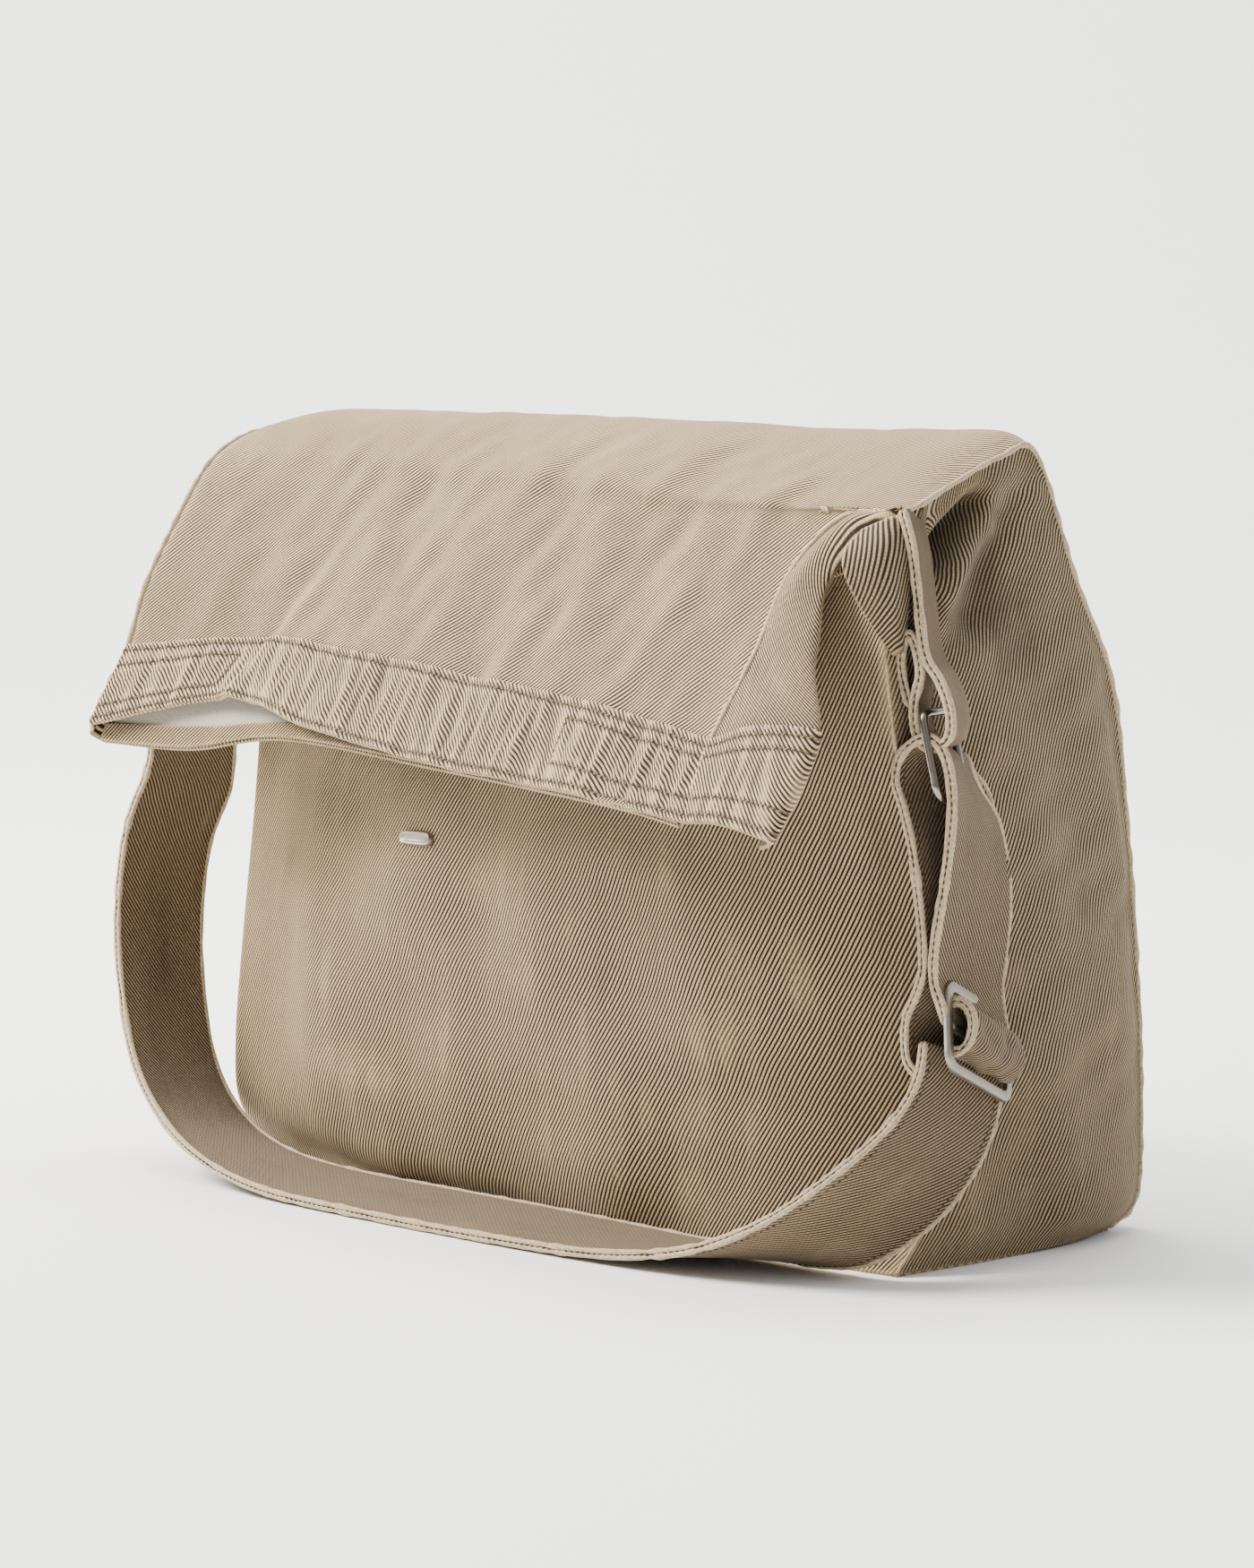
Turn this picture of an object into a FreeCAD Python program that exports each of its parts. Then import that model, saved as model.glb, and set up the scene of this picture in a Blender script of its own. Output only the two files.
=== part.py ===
# Fold-over cloth bag with a shoulder strap. Millimetres, X right, Y back, Z up.
# The origin is the middle of the bag's base, on the surface that it stands on.
import FreeCAD, Part
import math
import os
import Sketcher

V = FreeCAD.Vector

SIZES = [
    # bag body
    ("base_width", 400), ("base_depth", 150), ("panel_gauge", 2), ("lining_gauge", 1),
    ("back_low_y", 72), ("back_low_z", 110), ("back_high_y", 57), ("back_high_z", 226),
    ("ridge_y", 12), ("ridge_z", 335), ("ridge_seam", 1), ("lining_gap", 0.1),
    ("front_belly_y", -92), ("front_belly_z", 150), ("front_top_y", -67), ("front_top_z", 286),
    # the line where the flap folds over the front, and the flap that hangs from it
    ("fold_y", -72), ("fold_z", 304), ("top_end_y", -69), ("top_end_z", 305.1),
    ("flap_start_y", -73.6), ("flap_start_z", 301.5), ("flap_width", 395),
    ("hem_outer_y", -150), ("hem_outer_z", 184), ("inner_start_y", -68), ("inner_start_z", 292),
    ("hem_inner_y", -134), ("hem_inner_z", 176), ("slant_gauge", 2.4), ("slant_lining", 1.2),
    ("band_rise", 24), ("band_gauge", 1.4), ("side_strip_drop", 12), ("side_clearance", 0.2),
    # webbing, tabs and rings
    ("strap_gauge", 3), ("tab_width", 22), ("tab_gauge", 2.4),
    ("strap_near_y", -76), ("tab_near_y", -74.5), ("left_tilt", 14), ("slider_skew", 18),
    ("ring_half_width", 15), ("ring_depth", 35), ("ring_wire_radius", 1.7),
    ("ring_top_corner", 5), ("ring_low_corner", 12), ("ring_middle_y", -63.5),
    ("ring_bar_x", 214.5), ("ring_bar_z", 225),
    # three-bar slider
    ("slider_length", 58), ("slider_height", 35), ("slider_thickness", 2.6),
    ("slot_length", 50.4), ("slot_height", 22), ("slider_bar_radius", 1.8), ("slider_corner", 4),
    ("slider_edge", 0.8), ("slider_x", 217), ("slider_y", -47), ("slider_z", 91),
    ("slider_yaw", 9), ("slider_tilt", 22), ("end_loop_gap", 0.3), ("end_loop_gauge", 2.6),
    ("end_loop_length", 48), ("roll_gap", 0.3), ("roll_gauge", 2.6),
    # stud on the front panel
    ("stud_length", 21), ("stud_height", 6.5), ("stud_thickness", 2.4), ("stud_dish", 0.8),
    ("stud_rim", 1), ("stud_x", -59), ("stud_y", -93.2), ("stud_z", 157), ("post_radius", 1.5),
    ("post_length", 9.2), ("washer_radius", 4), ("washer_gauge", 0.8),
]

doc = FreeCAD.newDocument("foldover_bag")
sheet = doc.addObject("Spreadsheet::Sheet", "dims")
for row, (alias, value) in enumerate(SIZES, start=1):
    sheet.set(f"A{row}", alias)
    sheet.set(f"B{row}", str(value))
    sheet.setAlias(f"B{row}", alias)
doc.recompute()

ZERO = "0"
GAUGE = "dims.panel_gauge"
LINING = "dims.lining_gauge"
WALL_LOW = "dims.panel_gauge"
HALF_DEPTH = "dims.base_depth / 2"
PANEL_SPAN = "dims.base_width - 2 * dims.panel_gauge"
LINING_SPAN = "dims.base_width - 2 * dims.panel_gauge - 2 * dims.lining_gauge"


def size(alias):
    """The number held in one cell of the sheet."""
    return float(sheet.get(alias))


def origin_plane(body, role):
    return [item for item in body.Origin.OriginFeatures if item.Role == role][0]


def bound_outline(body, name, role, corners):
    """A closed sketch of straight edges, every corner bound to two expressions."""
    sketch = body.newObject("Sketcher::SketchObject", name)
    sketch.AttachmentSupport = (origin_plane(body, role), [""])
    sketch.MapMode = "FlatFace"
    places = [[float(sketch.evalExpression(term)) for term in corner] for corner in corners]
    count = len(places)
    for index in range(count):
        start = V(*places[index], 0)
        end = V(*places[(index + 1) % count], 0)
        sketch.addGeometry(Part.LineSegment(start, end), False)
    for index in range(count):
        sketch.addConstraint(Sketcher.Constraint("Coincident", index, 2, (index + 1) % count, 1))
    for index, (across, up) in enumerate(corners):
        for kind, term, value in (("DistanceX", across, 0), ("DistanceY", up, 1)):
            number = sketch.addConstraint(Sketcher.Constraint(kind, index, 1, places[index][value]))
            sketch.setExpression(f"Constraints[{number}]", term)
    return sketch


def padded_body(label, role, corners, length, shift=None):
    """A body with one pad: midway on its plane, or moved along X by the expression `shift`."""
    body = doc.addObject("PartDesign::Body", label)
    body.Label = label
    sketch = bound_outline(body, label + "_outline", role, corners)
    pad = body.newObject("PartDesign::Pad", label + "_pad")
    pad.Profile = sketch
    pad.Midplane = True
    pad.setExpression("Length", length)
    if shift:
        body.setExpression("Placement.Base.x", shift)
    doc.recompute()
    return body


def band(edge, inset, inward="dims.panel_gauge"):
    """Corners of a wall that follows `edge`, `inset` deep along Y and `inward` thick."""
    face = [(f"{y} + {inset}", z) for y, z in edge]
    back = [(f"{y} + {inset} + {inward}", z) for y, z in reversed(edge)]
    return face + back


# ---------------------------------------------------------------- bag walls
FRONT_EDGE = [
    (f"-{HALF_DEPTH}", WALL_LOW),
    ("dims.front_belly_y", "dims.front_belly_z"),
    ("dims.front_top_y", "dims.front_top_z"),
]
BACK_TOP = "dims.ridge_z - dims.panel_gauge - dims.ridge_seam"
BACK_EDGE = [
    (HALF_DEPTH, WALL_LOW),
    ("dims.back_low_y", "dims.back_low_z"),
    ("dims.back_high_y", "dims.back_high_z"),
    ("dims.ridge_y", BACK_TOP),
]
TOP_EDGE = [("dims.ridge_y", "dims.ridge_z"), ("dims.top_end_y", "dims.top_end_z")]


def make_walls():
    padded_body("front_panel", "YZ_Plane", band(FRONT_EDGE, ZERO), PANEL_SPAN)
    padded_body("back_panel", "YZ_Plane", band(BACK_EDGE, ZERO, "-dims.panel_gauge"), PANEL_SPAN)
    under = [(y, f"{z} - dims.panel_gauge") for y, z in reversed(TOP_EDGE)]
    padded_body("top_panel", "YZ_Plane", TOP_EDGE + under, PANEL_SPAN)
    side = FRONT_EDGE + [("dims.fold_y", "dims.fold_z"), TOP_EDGE[0]] + list(reversed(BACK_EDGE[:3]))
    reach = "(dims.base_width - dims.panel_gauge) / 2"
    padded_body("gusset_right", "YZ_Plane", side, GAUGE, reach)
    padded_body("gusset_left", "YZ_Plane", side, GAUGE, "-" + reach)
    floor = [(f"-{HALF_DEPTH}", ZERO), (HALF_DEPTH, ZERO), (HALF_DEPTH, GAUGE), (f"-{HALF_DEPTH}", GAUGE)]
    padded_body("bottom_panel", "YZ_Plane", floor, "dims.base_width")


def make_lining():
    """The loose lining, a hair inside the cloth on every side."""
    above = "dims.panel_gauge + dims.lining_gauge + dims.lining_gap"
    inside = "dims.panel_gauge + dims.lining_gap"
    front = [(FRONT_EDGE[0][0], above)] + FRONT_EDGE[1:]
    back_top = (BACK_EDGE[3][0], f"{BACK_TOP} - {inside}")
    back = [(BACK_EDGE[0][0], above)] + BACK_EDGE[1:3] + [back_top]
    padded_body("lining_front", "YZ_Plane", band(front, inside, LINING), LINING_SPAN)
    padded_body("lining_back", "YZ_Plane", band(back, f"-({inside})", f"-{LINING}"), LINING_SPAN)
    inner_front = [(f"{y} + {inside}", z) for y, z in front]
    inner_back = [(f"{y} - ({inside})", z) for y, z in reversed(back)]
    reach = "(dims.base_width - 2 * dims.panel_gauge - dims.lining_gauge) / 2"
    padded_body("lining_right", "YZ_Plane", inner_front + inner_back, LINING, reach)
    padded_body("lining_left", "YZ_Plane", inner_front + inner_back, LINING, "-" + reach)
    inset = f"dims.base_depth / 2 - ({inside}) - dims.lining_gap"
    sheet_low = [(f"-({inset})", GAUGE), (inset, GAUGE), (inset, above), (f"-({inset})", above)]
    padded_body("lining_bottom", "YZ_Plane", sheet_low, LINING_SPAN)


# ---------------------------------------------------------------- flap
OUTER_FACE = [("dims.flap_start_y", "dims.flap_start_z"), ("dims.hem_outer_y", "dims.hem_outer_z")]
INNER_FACE = [("dims.inner_start_y", "dims.inner_start_z"), ("dims.hem_inner_y", "dims.hem_inner_z")]


def along(face, height):
    """The Y at which the straight face stands at one height."""
    (y_top, z_top), (y_low, z_low) = face
    return f"{y_low} + ({y_top} - {y_low}) * ({height} - {z_low}) / ({z_top} - {z_low})"


def make_flap():
    width = "dims.flap_width"
    padded_body("flap_outer_panel", "YZ_Plane", band(OUTER_FACE, ZERO, "dims.slant_gauge"), width)
    padded_body("flap_inner_panel", "YZ_Plane", band(INNER_FACE, ZERO, "dims.slant_gauge"), width)
    padded_body("flap_lining_outer", "YZ_Plane",
                band(OUTER_FACE, "dims.slant_gauge", "dims.slant_lining"), width)
    padded_body("flap_lining_inner", "YZ_Plane",
                band(INNER_FACE, "-dims.slant_lining", "dims.slant_lining"), width)
    outer_inset = "dims.slant_gauge + dims.slant_lining + dims.side_clearance"
    inner_inset = "-(dims.slant_lining + dims.side_clearance)"
    strip_top = "dims.flap_start_z - dims.side_strip_drop"
    strip = [
        (f"{along(OUTER_FACE, strip_top)} + {outer_inset}", strip_top),
        (f"dims.hem_outer_y + {outer_inset}", "dims.hem_outer_z"),
        (f"dims.hem_inner_y + {inner_inset}", "dims.hem_inner_z"),
        (f"{along(INNER_FACE, strip_top)} + {inner_inset}", strip_top),
    ]
    reach = "(dims.flap_width - dims.panel_gauge) / 2"
    padded_body("flap_gusset_right", "YZ_Plane", strip, GAUGE, reach)
    padded_body("flap_gusset_left", "YZ_Plane", strip, GAUGE, "-" + reach)
    for label, face, inset in (
            ("hem_band_outer", OUTER_FACE, "-dims.band_gauge"),
            ("hem_band_inner", INNER_FACE, "dims.slant_gauge")):
        band_top = f"({face[1][1]} + dims.band_rise)"
        edge = [(along(face, band_top), band_top), face[1]]
        padded_body(label, "YZ_Plane", band(edge, inset, "dims.band_gauge"), width)


# ---------------------------------------------------------------- webbing
def webbing(stretches, near, far, gauge):
    """A flat strip, `gauge` thick, whose middle runs through the near and far edge points.

    Each stretch is a label with the numbers of its first and last point."""
    middles = [(a + b) * 0.5 for a, b in zip(near, far)]
    last = len(near) - 1
    frames = []
    for index in range(len(near)):
        run = middles[min(index + 1, last)] - middles[max(index - 1, 0)]
        normal = run.cross(far[index] - near[index])
        normal.normalize()
        frames.append(normal * (gauge / 2))
    wires = []
    for low, high, half in zip(near, far, frames):
        corners = [low + half, high + half, high - half, low - half]
        wires.append(Part.makePolygon(corners + corners[:1]))
    for label, first, end in stretches:
        pieces = [Part.makeLoft(wires[at:at + 2], True, True) for at in range(first, end)]
        feature = doc.addObject("Part::Feature", label)
        feature.Label = label
        feature.Shape = pieces[0].multiFuse(pieces[1:])


def tilted(points, angle):
    """Points turned about the fold line, the way the strap leans forward."""
    turn = FreeCAD.Rotation(V(1, 0, 0), -angle)
    pivot = V(0, size("fold_y"), size("fold_z"))
    return [pivot + turn.multVec(point - pivot) for point in points]


# Middle line of a tab, seen from the front: side seam, round the ring, up to the bar tack.
TAB_ROUTE = [(202.6, 301), (205, 276), (212.5, 251), (220.5, 234), (221.5, 224), (218.5, 217.5),
             (214.5, 215.5), (210, 217.5), (207.2, 224), (206.6, 236), (209.6, 247)]
# Middle line of the doubled strap above the slider, from the inner leg round the ring.
LOOP_ROUTE = [(212.6, 124), (208.5, 150), (205.3, 176), (205.4, 194), (209, 205.5), (216.5, 210.5),
              (224, 205.5), (228.6, 192), (228, 170), (222.5, 147), (217, 124)]
# Width of the strap at each of those points: it is gathered where it passes through the ring.
LOOP_WIDTHS = [50, 50, 44, 34, 24.5, 24.5, 24.5, 34, 44, 50, 50]
# Left end of the strap round its ring, before it leans forward, and the bar-tacked tail.
END_ROUTE = [(-209.5, 168), (-206.5, 188), (-209, 203), (-217, 210), (-226.5, 205), (-234, 192)]
END_WIDTHS = [34, 30, 24.5, 24.5, 24.5, 34]
# The free run of the strap: x, near-edge y, far-edge y and the heights of the two edges.
RUN_ROUTE = [
    (-246, -100, -52, 178, 166), (-250, -110, -62, 150, 138), (-246, -119, -71, 114, 102),
    (-234, -127, -79, 80, 68), (-214, -135, -87, 47, 37), (-186, -141, -92, 24, 17),
    (-150, -146, -97, 10, 7), (-104, -149, -99, 3, 3), (-40, -149, -99, 1.8, 1.8),
    (30, -147, -97, 1.8, 1.8), (96, -143, -94, 3.2, 2.4), (140, -140, -91, 9, 5),
    (174, -135, -88, 20, 10), (200.5, -122, -84.5, 39, 22), (212, -104, -60, 54, 37),
    (217, -90, -43, 67, 48), (219.5, -77, -28, 79, 58),
]


def make_webbing():
    gauge = size("strap_gauge")
    near_y = size("strap_near_y")
    skew = size("slider_skew")
    top = max(z for x, z in LOOP_ROUTE)
    low = min(z for x, z in LOOP_ROUTE)
    near = [V(x, near_y, z) for x, z in LOOP_ROUTE]
    far = [V(x, near_y + wide, z - skew * (top - z) / (top - low))
           for (x, z), wide in zip(LOOP_ROUTE, LOOP_WIDTHS)]
    turn = len(near) // 2
    stretches = [("strap_inner_leg", 0, turn - 2), ("strap_ring_loop", turn - 2, turn + 2),
                 ("strap_outer_leg", turn + 2, len(near) - 1)]
    webbing(stretches, near, far, gauge)
    angle = size("left_tilt")
    near_end = tilted([V(x, near_y, z) for x, z in END_ROUTE], angle)
    far_end = [V(x, near_y + wide, z) for (x, z), wide in zip(END_ROUTE, END_WIDTHS)]
    far_end = tilted(far_end, angle)
    near_run = [V(x, y, z) for x, y, far_y, z, far_z in RUN_ROUTE]
    far_run = [V(x, far_y, far_z) for x, y, far_y, z, far_z in RUN_ROUTE]
    near_all = near_end + near_run
    webbing([("strap_run", 0, len(near_all) - 1)], near_all, far_end + far_run, gauge)

    tab_width = size("tab_width")
    tab_y = size("tab_near_y")
    tab_gauge = size("tab_gauge")
    near = [V(x, tab_y, z) for x, z in TAB_ROUTE]
    far = [V(x, tab_y + tab_width, z) for x, z in TAB_ROUTE]
    webbing([("tab_right", 0, len(near) - 1)], near, far, tab_gauge)
    near = tilted([V(-x, tab_y, z) for x, z in TAB_ROUTE], angle)
    far = tilted([V(-x, tab_y + tab_width, z) for x, z in TAB_ROUTE], angle)
    webbing([("tab_left", 0, len(near) - 1)], near, far, tab_gauge)


# ---------------------------------------------------------------- metal
def ring_shape():
    """A D ring in the YZ plane, its straight bar on top, hanging from the origin."""
    half = size("ring_half_width")
    depth = size("ring_depth")
    corners = [
        (V(0, half, 0), size("ring_top_corner")), (V(0, half, -depth), size("ring_low_corner")),
        (V(0, -half, -depth), size("ring_low_corner")), (V(0, -half, 0), size("ring_top_corner")),
    ]
    edges = []
    last_end = None
    first_start = None
    for index, (corner, radius) in enumerate(corners):
        before = (corners[index - 1][0] - corner).normalize()
        after = (corners[(index + 1) % 4][0] - corner).normalize()
        start = corner + before * radius
        end = corner + after * radius
        middle = corner + (before + after) * (radius * (1 - math.sqrt(0.5)))
        if last_end is None:
            first_start = start
        else:
            edges.append(Part.LineSegment(last_end, start).toShape())
        edges.append(Part.Arc(start, middle, end).toShape())
        last_end = end
    edges.append(Part.LineSegment(last_end, first_start).toShape())
    path = Part.Wire(edges)
    start = first_start
    heading = path.Edges[0].tangentAt(path.Edges[0].FirstParameter)
    circle = Part.Wire(Part.makeCircle(size("ring_wire_radius"), start, heading))
    return path.makePipeShell([circle], True, False)


def make_rings():
    for label, side, angle in (("ring_right", 1, 0), ("ring_left", -1, size("left_tilt"))):
        feature = doc.addObject("Part::Feature", label)
        feature.Label = label
        feature.Shape = ring_shape()
        bar = V(side * size("ring_bar_x"), size("ring_middle_y"), size("ring_bar_z"))
        place = tilted([bar], angle)[0]
        feature.Placement = FreeCAD.Placement(place, FreeCAD.Rotation(V(1, 0, 0), -angle))


def slider_placement():
    yaw = FreeCAD.Rotation(V(0, 0, 1), size("slider_yaw"))
    tilt = FreeCAD.Rotation(V(1, 0, 0), -size("slider_tilt"))
    return FreeCAD.Placement(V(size("slider_x"), size("slider_y"), size("slider_z")), yaw.multiply(tilt))


def make_slider():
    half_length = "dims.slider_length / 2"
    half_height = "dims.slider_height / 2"
    outline = [(f"-{half_length}", f"-{half_height}"), (half_length, f"-{half_height}"),
               (half_length, half_height), (f"-{half_length}", half_height)]
    body = padded_body("slider_frame", "YZ_Plane", outline, "dims.slider_thickness")
    slot = [("-dims.slot_length / 2", "-dims.slot_height / 2"), ("dims.slot_length / 2", "-dims.slot_height / 2"),
            ("dims.slot_length / 2", "dims.slot_height / 2"), ("-dims.slot_length / 2", "dims.slot_height / 2")]
    solid = body.Shape.Volume
    window = body.newObject("PartDesign::Pocket", "slider_window")
    window.Profile = bound_outline(body, "slider_window_outline", "YZ_Plane", slot)
    window.Midplane = True
    window.setExpression("Length", "dims.slider_thickness * 2")
    doc.recompute()
    if body.Shape.Volume >= solid:
        raise ValueError("the slider's window cuts nothing")
    reach = size("slider_length") / 2
    corners = [f"Edge{number}" for number, edge in enumerate(window.Shape.Edges, start=1)
               if abs(edge.CenterOfMass.y) > reach - 0.01 and abs(edge.CenterOfMass.x) < 0.01]
    rounded = body.newObject("PartDesign::Fillet", "slider_corners")
    rounded.Base = (window, corners)
    rounded.setExpression("Radius", "dims.slider_corner")
    doc.recompute()
    faces = [f"Face{number}" for number, face in enumerate(rounded.Shape.Faces, start=1)
             if abs(face.normalAt(0, 0).x) > 0.99]
    eased = body.newObject("PartDesign::Fillet", "slider_edges")
    eased.Base = (rounded, faces)
    eased.setExpression("Radius", "dims.slider_edge")
    doc.recompute()
    body.Placement = slider_placement()

    bar = doc.addObject("Part::Cylinder", "slider_bar")
    bar.Label = "slider_bar"
    bar.setExpression("Radius", "dims.slider_bar_radius")
    bar.setExpression("Height", "dims.slot_length")
    along_y = FreeCAD.Rotation(V(1, 0, 0), -90)
    start = V(0, -size("slot_length") / 2, 0)
    bar.Placement = slider_placement().multiply(FreeCAD.Placement(start, along_y))

    # the strap's sewn end round the bar, and the strap's pass over it
    start = V(0, -size("end_loop_length") / 2, 0)
    inner = size("slider_bar_radius") + size("end_loop_gap")
    for label, low, gauge, sweep in (
            ("strap_end_loop", inner, size("end_loop_gauge"), 360),
            ("strap_roll", inner + size("end_loop_gauge") + size("roll_gap"), size("roll_gauge"), 200)):
        length = size("end_loop_length")
        ring = Part.makeCylinder(low + gauge, length, V(0, 0, 0), V(0, 0, 1), sweep)
        ring = ring.cut(Part.makeCylinder(low, length))
        turned = FreeCAD.Rotation(V(0, 0, 1), -sweep / 2)
        ring = ring.transformGeometry(FreeCAD.Placement(V(0, 0, 0), turned).toMatrix())
        feature = doc.addObject("Part::Feature", label)
        feature.Label = label
        feature.Shape = ring
        feature.Placement = slider_placement().multiply(FreeCAD.Placement(start, along_y))


def make_stud():
    half_length = "dims.stud_length / 2"
    half_height = "dims.stud_height / 2"
    outline = [(f"-{half_length}", f"-{half_height}"), (half_length, f"-{half_height}"),
               (half_length, half_height), (f"-{half_length}", half_height)]
    body = padded_body("stud_cap", "XZ_Plane", outline, "dims.stud_thickness")
    pad = body.Tip
    reach = size("stud_length") / 2
    ends = [f"Edge{number}" for number, edge in enumerate(pad.Shape.Edges, start=1)
            if abs(abs(edge.CenterOfMass.x) - reach) < 0.01 and abs(edge.CenterOfMass.y) < 0.01]
    rounded = body.newObject("PartDesign::Fillet", "stud_ends")
    rounded.Base = (pad, ends)
    rounded.setExpression("Radius", "dims.stud_height / 2 - 0.05")
    doc.recompute()
    body.Placement = FreeCAD.Placement(
        V(size("stud_x"), size("stud_y") - size("stud_thickness") / 2, size("stud_z")), FreeCAD.Rotation())
    inward = FreeCAD.Rotation(V(1, 0, 0), -90)
    for label, radius, length, start_y in (
            ("stud_post", "dims.post_radius", "dims.post_length", size("stud_y")),
            ("stud_washer", "dims.washer_radius", "dims.washer_gauge", size("stud_y") + size("post_length"))):
        piece = doc.addObject("Part::Cylinder", label)
        piece.Label = label
        piece.setExpression("Radius", radius)
        piece.setExpression("Height", length)
        piece.Placement = FreeCAD.Placement(V(size("stud_x"), start_y, size("stud_z")), inward)


make_walls()
make_lining()
make_flap()
make_webbing()
make_rings()
make_slider()
make_stud()
doc.recompute()

for item in doc.Objects:
    if "Invalid" in item.State or "Error" in item.State:
        raise ValueError(f"{item.Label} did not compute: {item.State}")

KINDS = ("PartDesign::Body", "Part::Feature", "Part::Cylinder")
os.makedirs("parts", exist_ok=True)
for item in doc.Objects:
    if item.TypeId in KINDS:
        if item.Shape.isNull() or not item.Shape.isValid() or item.Shape.Volume <= 0:
            raise ValueError(f"{item.Label} has no valid solid")
        item.Shape.exportStep(f"parts/{item.Label}.step")
        print(item.Label, round(item.Shape.Volume), len(item.Shape.Solids))
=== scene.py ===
import bmesh
import bpy
import math
import numpy as np
from mathutils import Matrix, Vector
from mathutils.kdtree import KDTree


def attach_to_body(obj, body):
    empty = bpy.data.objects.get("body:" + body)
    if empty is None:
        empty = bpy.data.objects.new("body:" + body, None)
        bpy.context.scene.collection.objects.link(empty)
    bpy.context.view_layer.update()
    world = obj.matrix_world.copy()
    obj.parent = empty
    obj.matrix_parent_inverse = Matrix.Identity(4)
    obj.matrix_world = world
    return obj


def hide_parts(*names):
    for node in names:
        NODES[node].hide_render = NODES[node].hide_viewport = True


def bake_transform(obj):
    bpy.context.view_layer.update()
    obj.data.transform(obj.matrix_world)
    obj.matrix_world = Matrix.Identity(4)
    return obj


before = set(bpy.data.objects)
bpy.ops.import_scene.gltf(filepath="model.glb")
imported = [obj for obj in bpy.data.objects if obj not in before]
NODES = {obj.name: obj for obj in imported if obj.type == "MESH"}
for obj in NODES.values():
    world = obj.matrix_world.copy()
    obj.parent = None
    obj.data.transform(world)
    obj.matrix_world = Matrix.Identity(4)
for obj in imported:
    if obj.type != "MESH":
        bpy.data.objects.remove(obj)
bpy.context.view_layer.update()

MM = 0.001


# ------------------------------------------------------------------ lines and surfaces
def smooth_step_between(before, start, end, after, part):
    """The smooth line from start to end that also heeds its two neighbours."""
    return 0.5 * (2 * start + (end - before) * part
                  + (2 * before - 5 * start + 4 * end - after) * part ** 2
                  + (3 * start - before - 3 * end + after) * part ** 3)


def spline(points, t):
    """Points at t, from 0 to 1, on a smooth line through the control points."""
    points = np.asarray(points, float)
    last = len(points) - 1
    spot = np.clip(np.asarray(t, float), 0, 1) * last
    first = np.minimum(spot.astype(int), last - 1)
    part = (spot - first)[:, None]
    padded = np.vstack([2 * points[:1] - points[1:2], points, 2 * points[-1:] - points[-2:-1]])
    return smooth_step_between(*(padded[first + step] for step in range(4)), part)


def even_line(points, count):
    """Evenly spaced points on the smooth line through the control points."""
    fine = spline(points, np.linspace(0, 1, 40 * len(points)))
    reach = distance_along(fine)
    wanted = np.linspace(0, reach[-1], count)
    return np.stack([np.interp(wanted, reach, fine[:, axis]) for axis in range(3)], axis=1)


def rail(points, even=False):
    """A line in metres from control points in millimetres, as a function of t."""
    metres = np.asarray(points, float) * MM
    if even:
        metres = even_line(metres, 60)
    return lambda t: spline(metres, t)


def patch(front, back, low, top):
    """A surface between four edge lines that meet at the corners."""
    def place(u, w):
        across, up = u[:, None], w[:, None]
        zero, one = np.zeros(1), np.ones(1)
        sides = (1 - across) * front(w) + across * back(w) + (1 - up) * low(u) + up * top(u)
        corners = ((1 - across) * (1 - up) * front(zero) + across * (1 - up) * back(zero)
                   + (1 - across) * up * front(one) + across * up * back(one))
        return sides - corners
    return place


def through_rails(rails):
    """A surface whose cross lines run smoothly over several rails."""
    lines = [rail(points) for points in rails]

    def place(u, w):
        stack = np.stack([line(w) for line in lines])
        last = len(lines) - 1
        spot = np.clip(u, 0, 1) * last
        first = np.minimum(spot.astype(int), last - 1)
        part = (spot - first)[:, None]
        padded = np.concatenate([2 * stack[:1] - stack[1:2], stack, 2 * stack[-1:] - stack[-2:-1]])
        item = np.arange(len(u))
        return smooth_step_between(*(padded[first + step, item] for step in range(4)), part)
    return place


def normals_of(place, u, w):
    """Unit normals of a surface, by small steps along it."""
    step = 0.004
    across = place(np.clip(u + step, 0, 1), w) - place(np.clip(u - step, 0, 1), w)
    along = place(u, np.clip(w + step, 0, 1)) - place(u, np.clip(w - step, 0, 1))
    normal = np.cross(across, along)
    return normal / np.maximum(np.linalg.norm(normal, axis=1, keepdims=True), 1e-9)


def raised(place, height):
    """The same surface moved along its normals; height is metres, or a function of u, w and the points."""
    def moved(u, w):
        points = place(u, w)
        lift = height(u, w, points) if callable(height) else np.full(len(u), height)
        return points + normals_of(place, u, w) * lift[:, None]
    return moved


def ripple(x, y, size, seed):
    """Soft uneven waves, about -1 to 1, with the given size in metres."""
    draw = np.random.RandomState(seed)
    total = np.zeros(len(x))
    waves = 7
    for _ in range(waves):
        angle = draw.uniform(0, math.tau)
        rate = math.tau / (size * draw.uniform(0.7, 1.6))
        total += np.sin(rate * (x * math.cos(angle) + y * math.sin(angle)) + draw.uniform(0, math.tau))
    return total / math.sqrt(waves)


def near_line(points, line, width, axes=(1, 2)):
    """1 on a line through given spots in a plane, fading to 0 over `width`; all in millimetres."""
    spots = points[:, axes] / MM
    best = np.full(len(points), 1e9)
    for start, end in zip(line[:-1], line[1:]):
        a, b = np.array(start, float), np.array(end, float)
        run = b - a
        t = np.clip(((spots - a) @ run) / (run @ run), 0, 1)
        best = np.minimum(best, np.linalg.norm(spots - (a + t[:, None] * run), axis=1))
    return np.exp(-(best / width) ** 2)


# ------------------------------------------------------------------ making pieces
CLOTH_GAUGE = 1.4 * MM
LINING_GAUGE = 0.4 * MM
FLAP_LINING_GAUGE = 0.5 * MM


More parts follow.
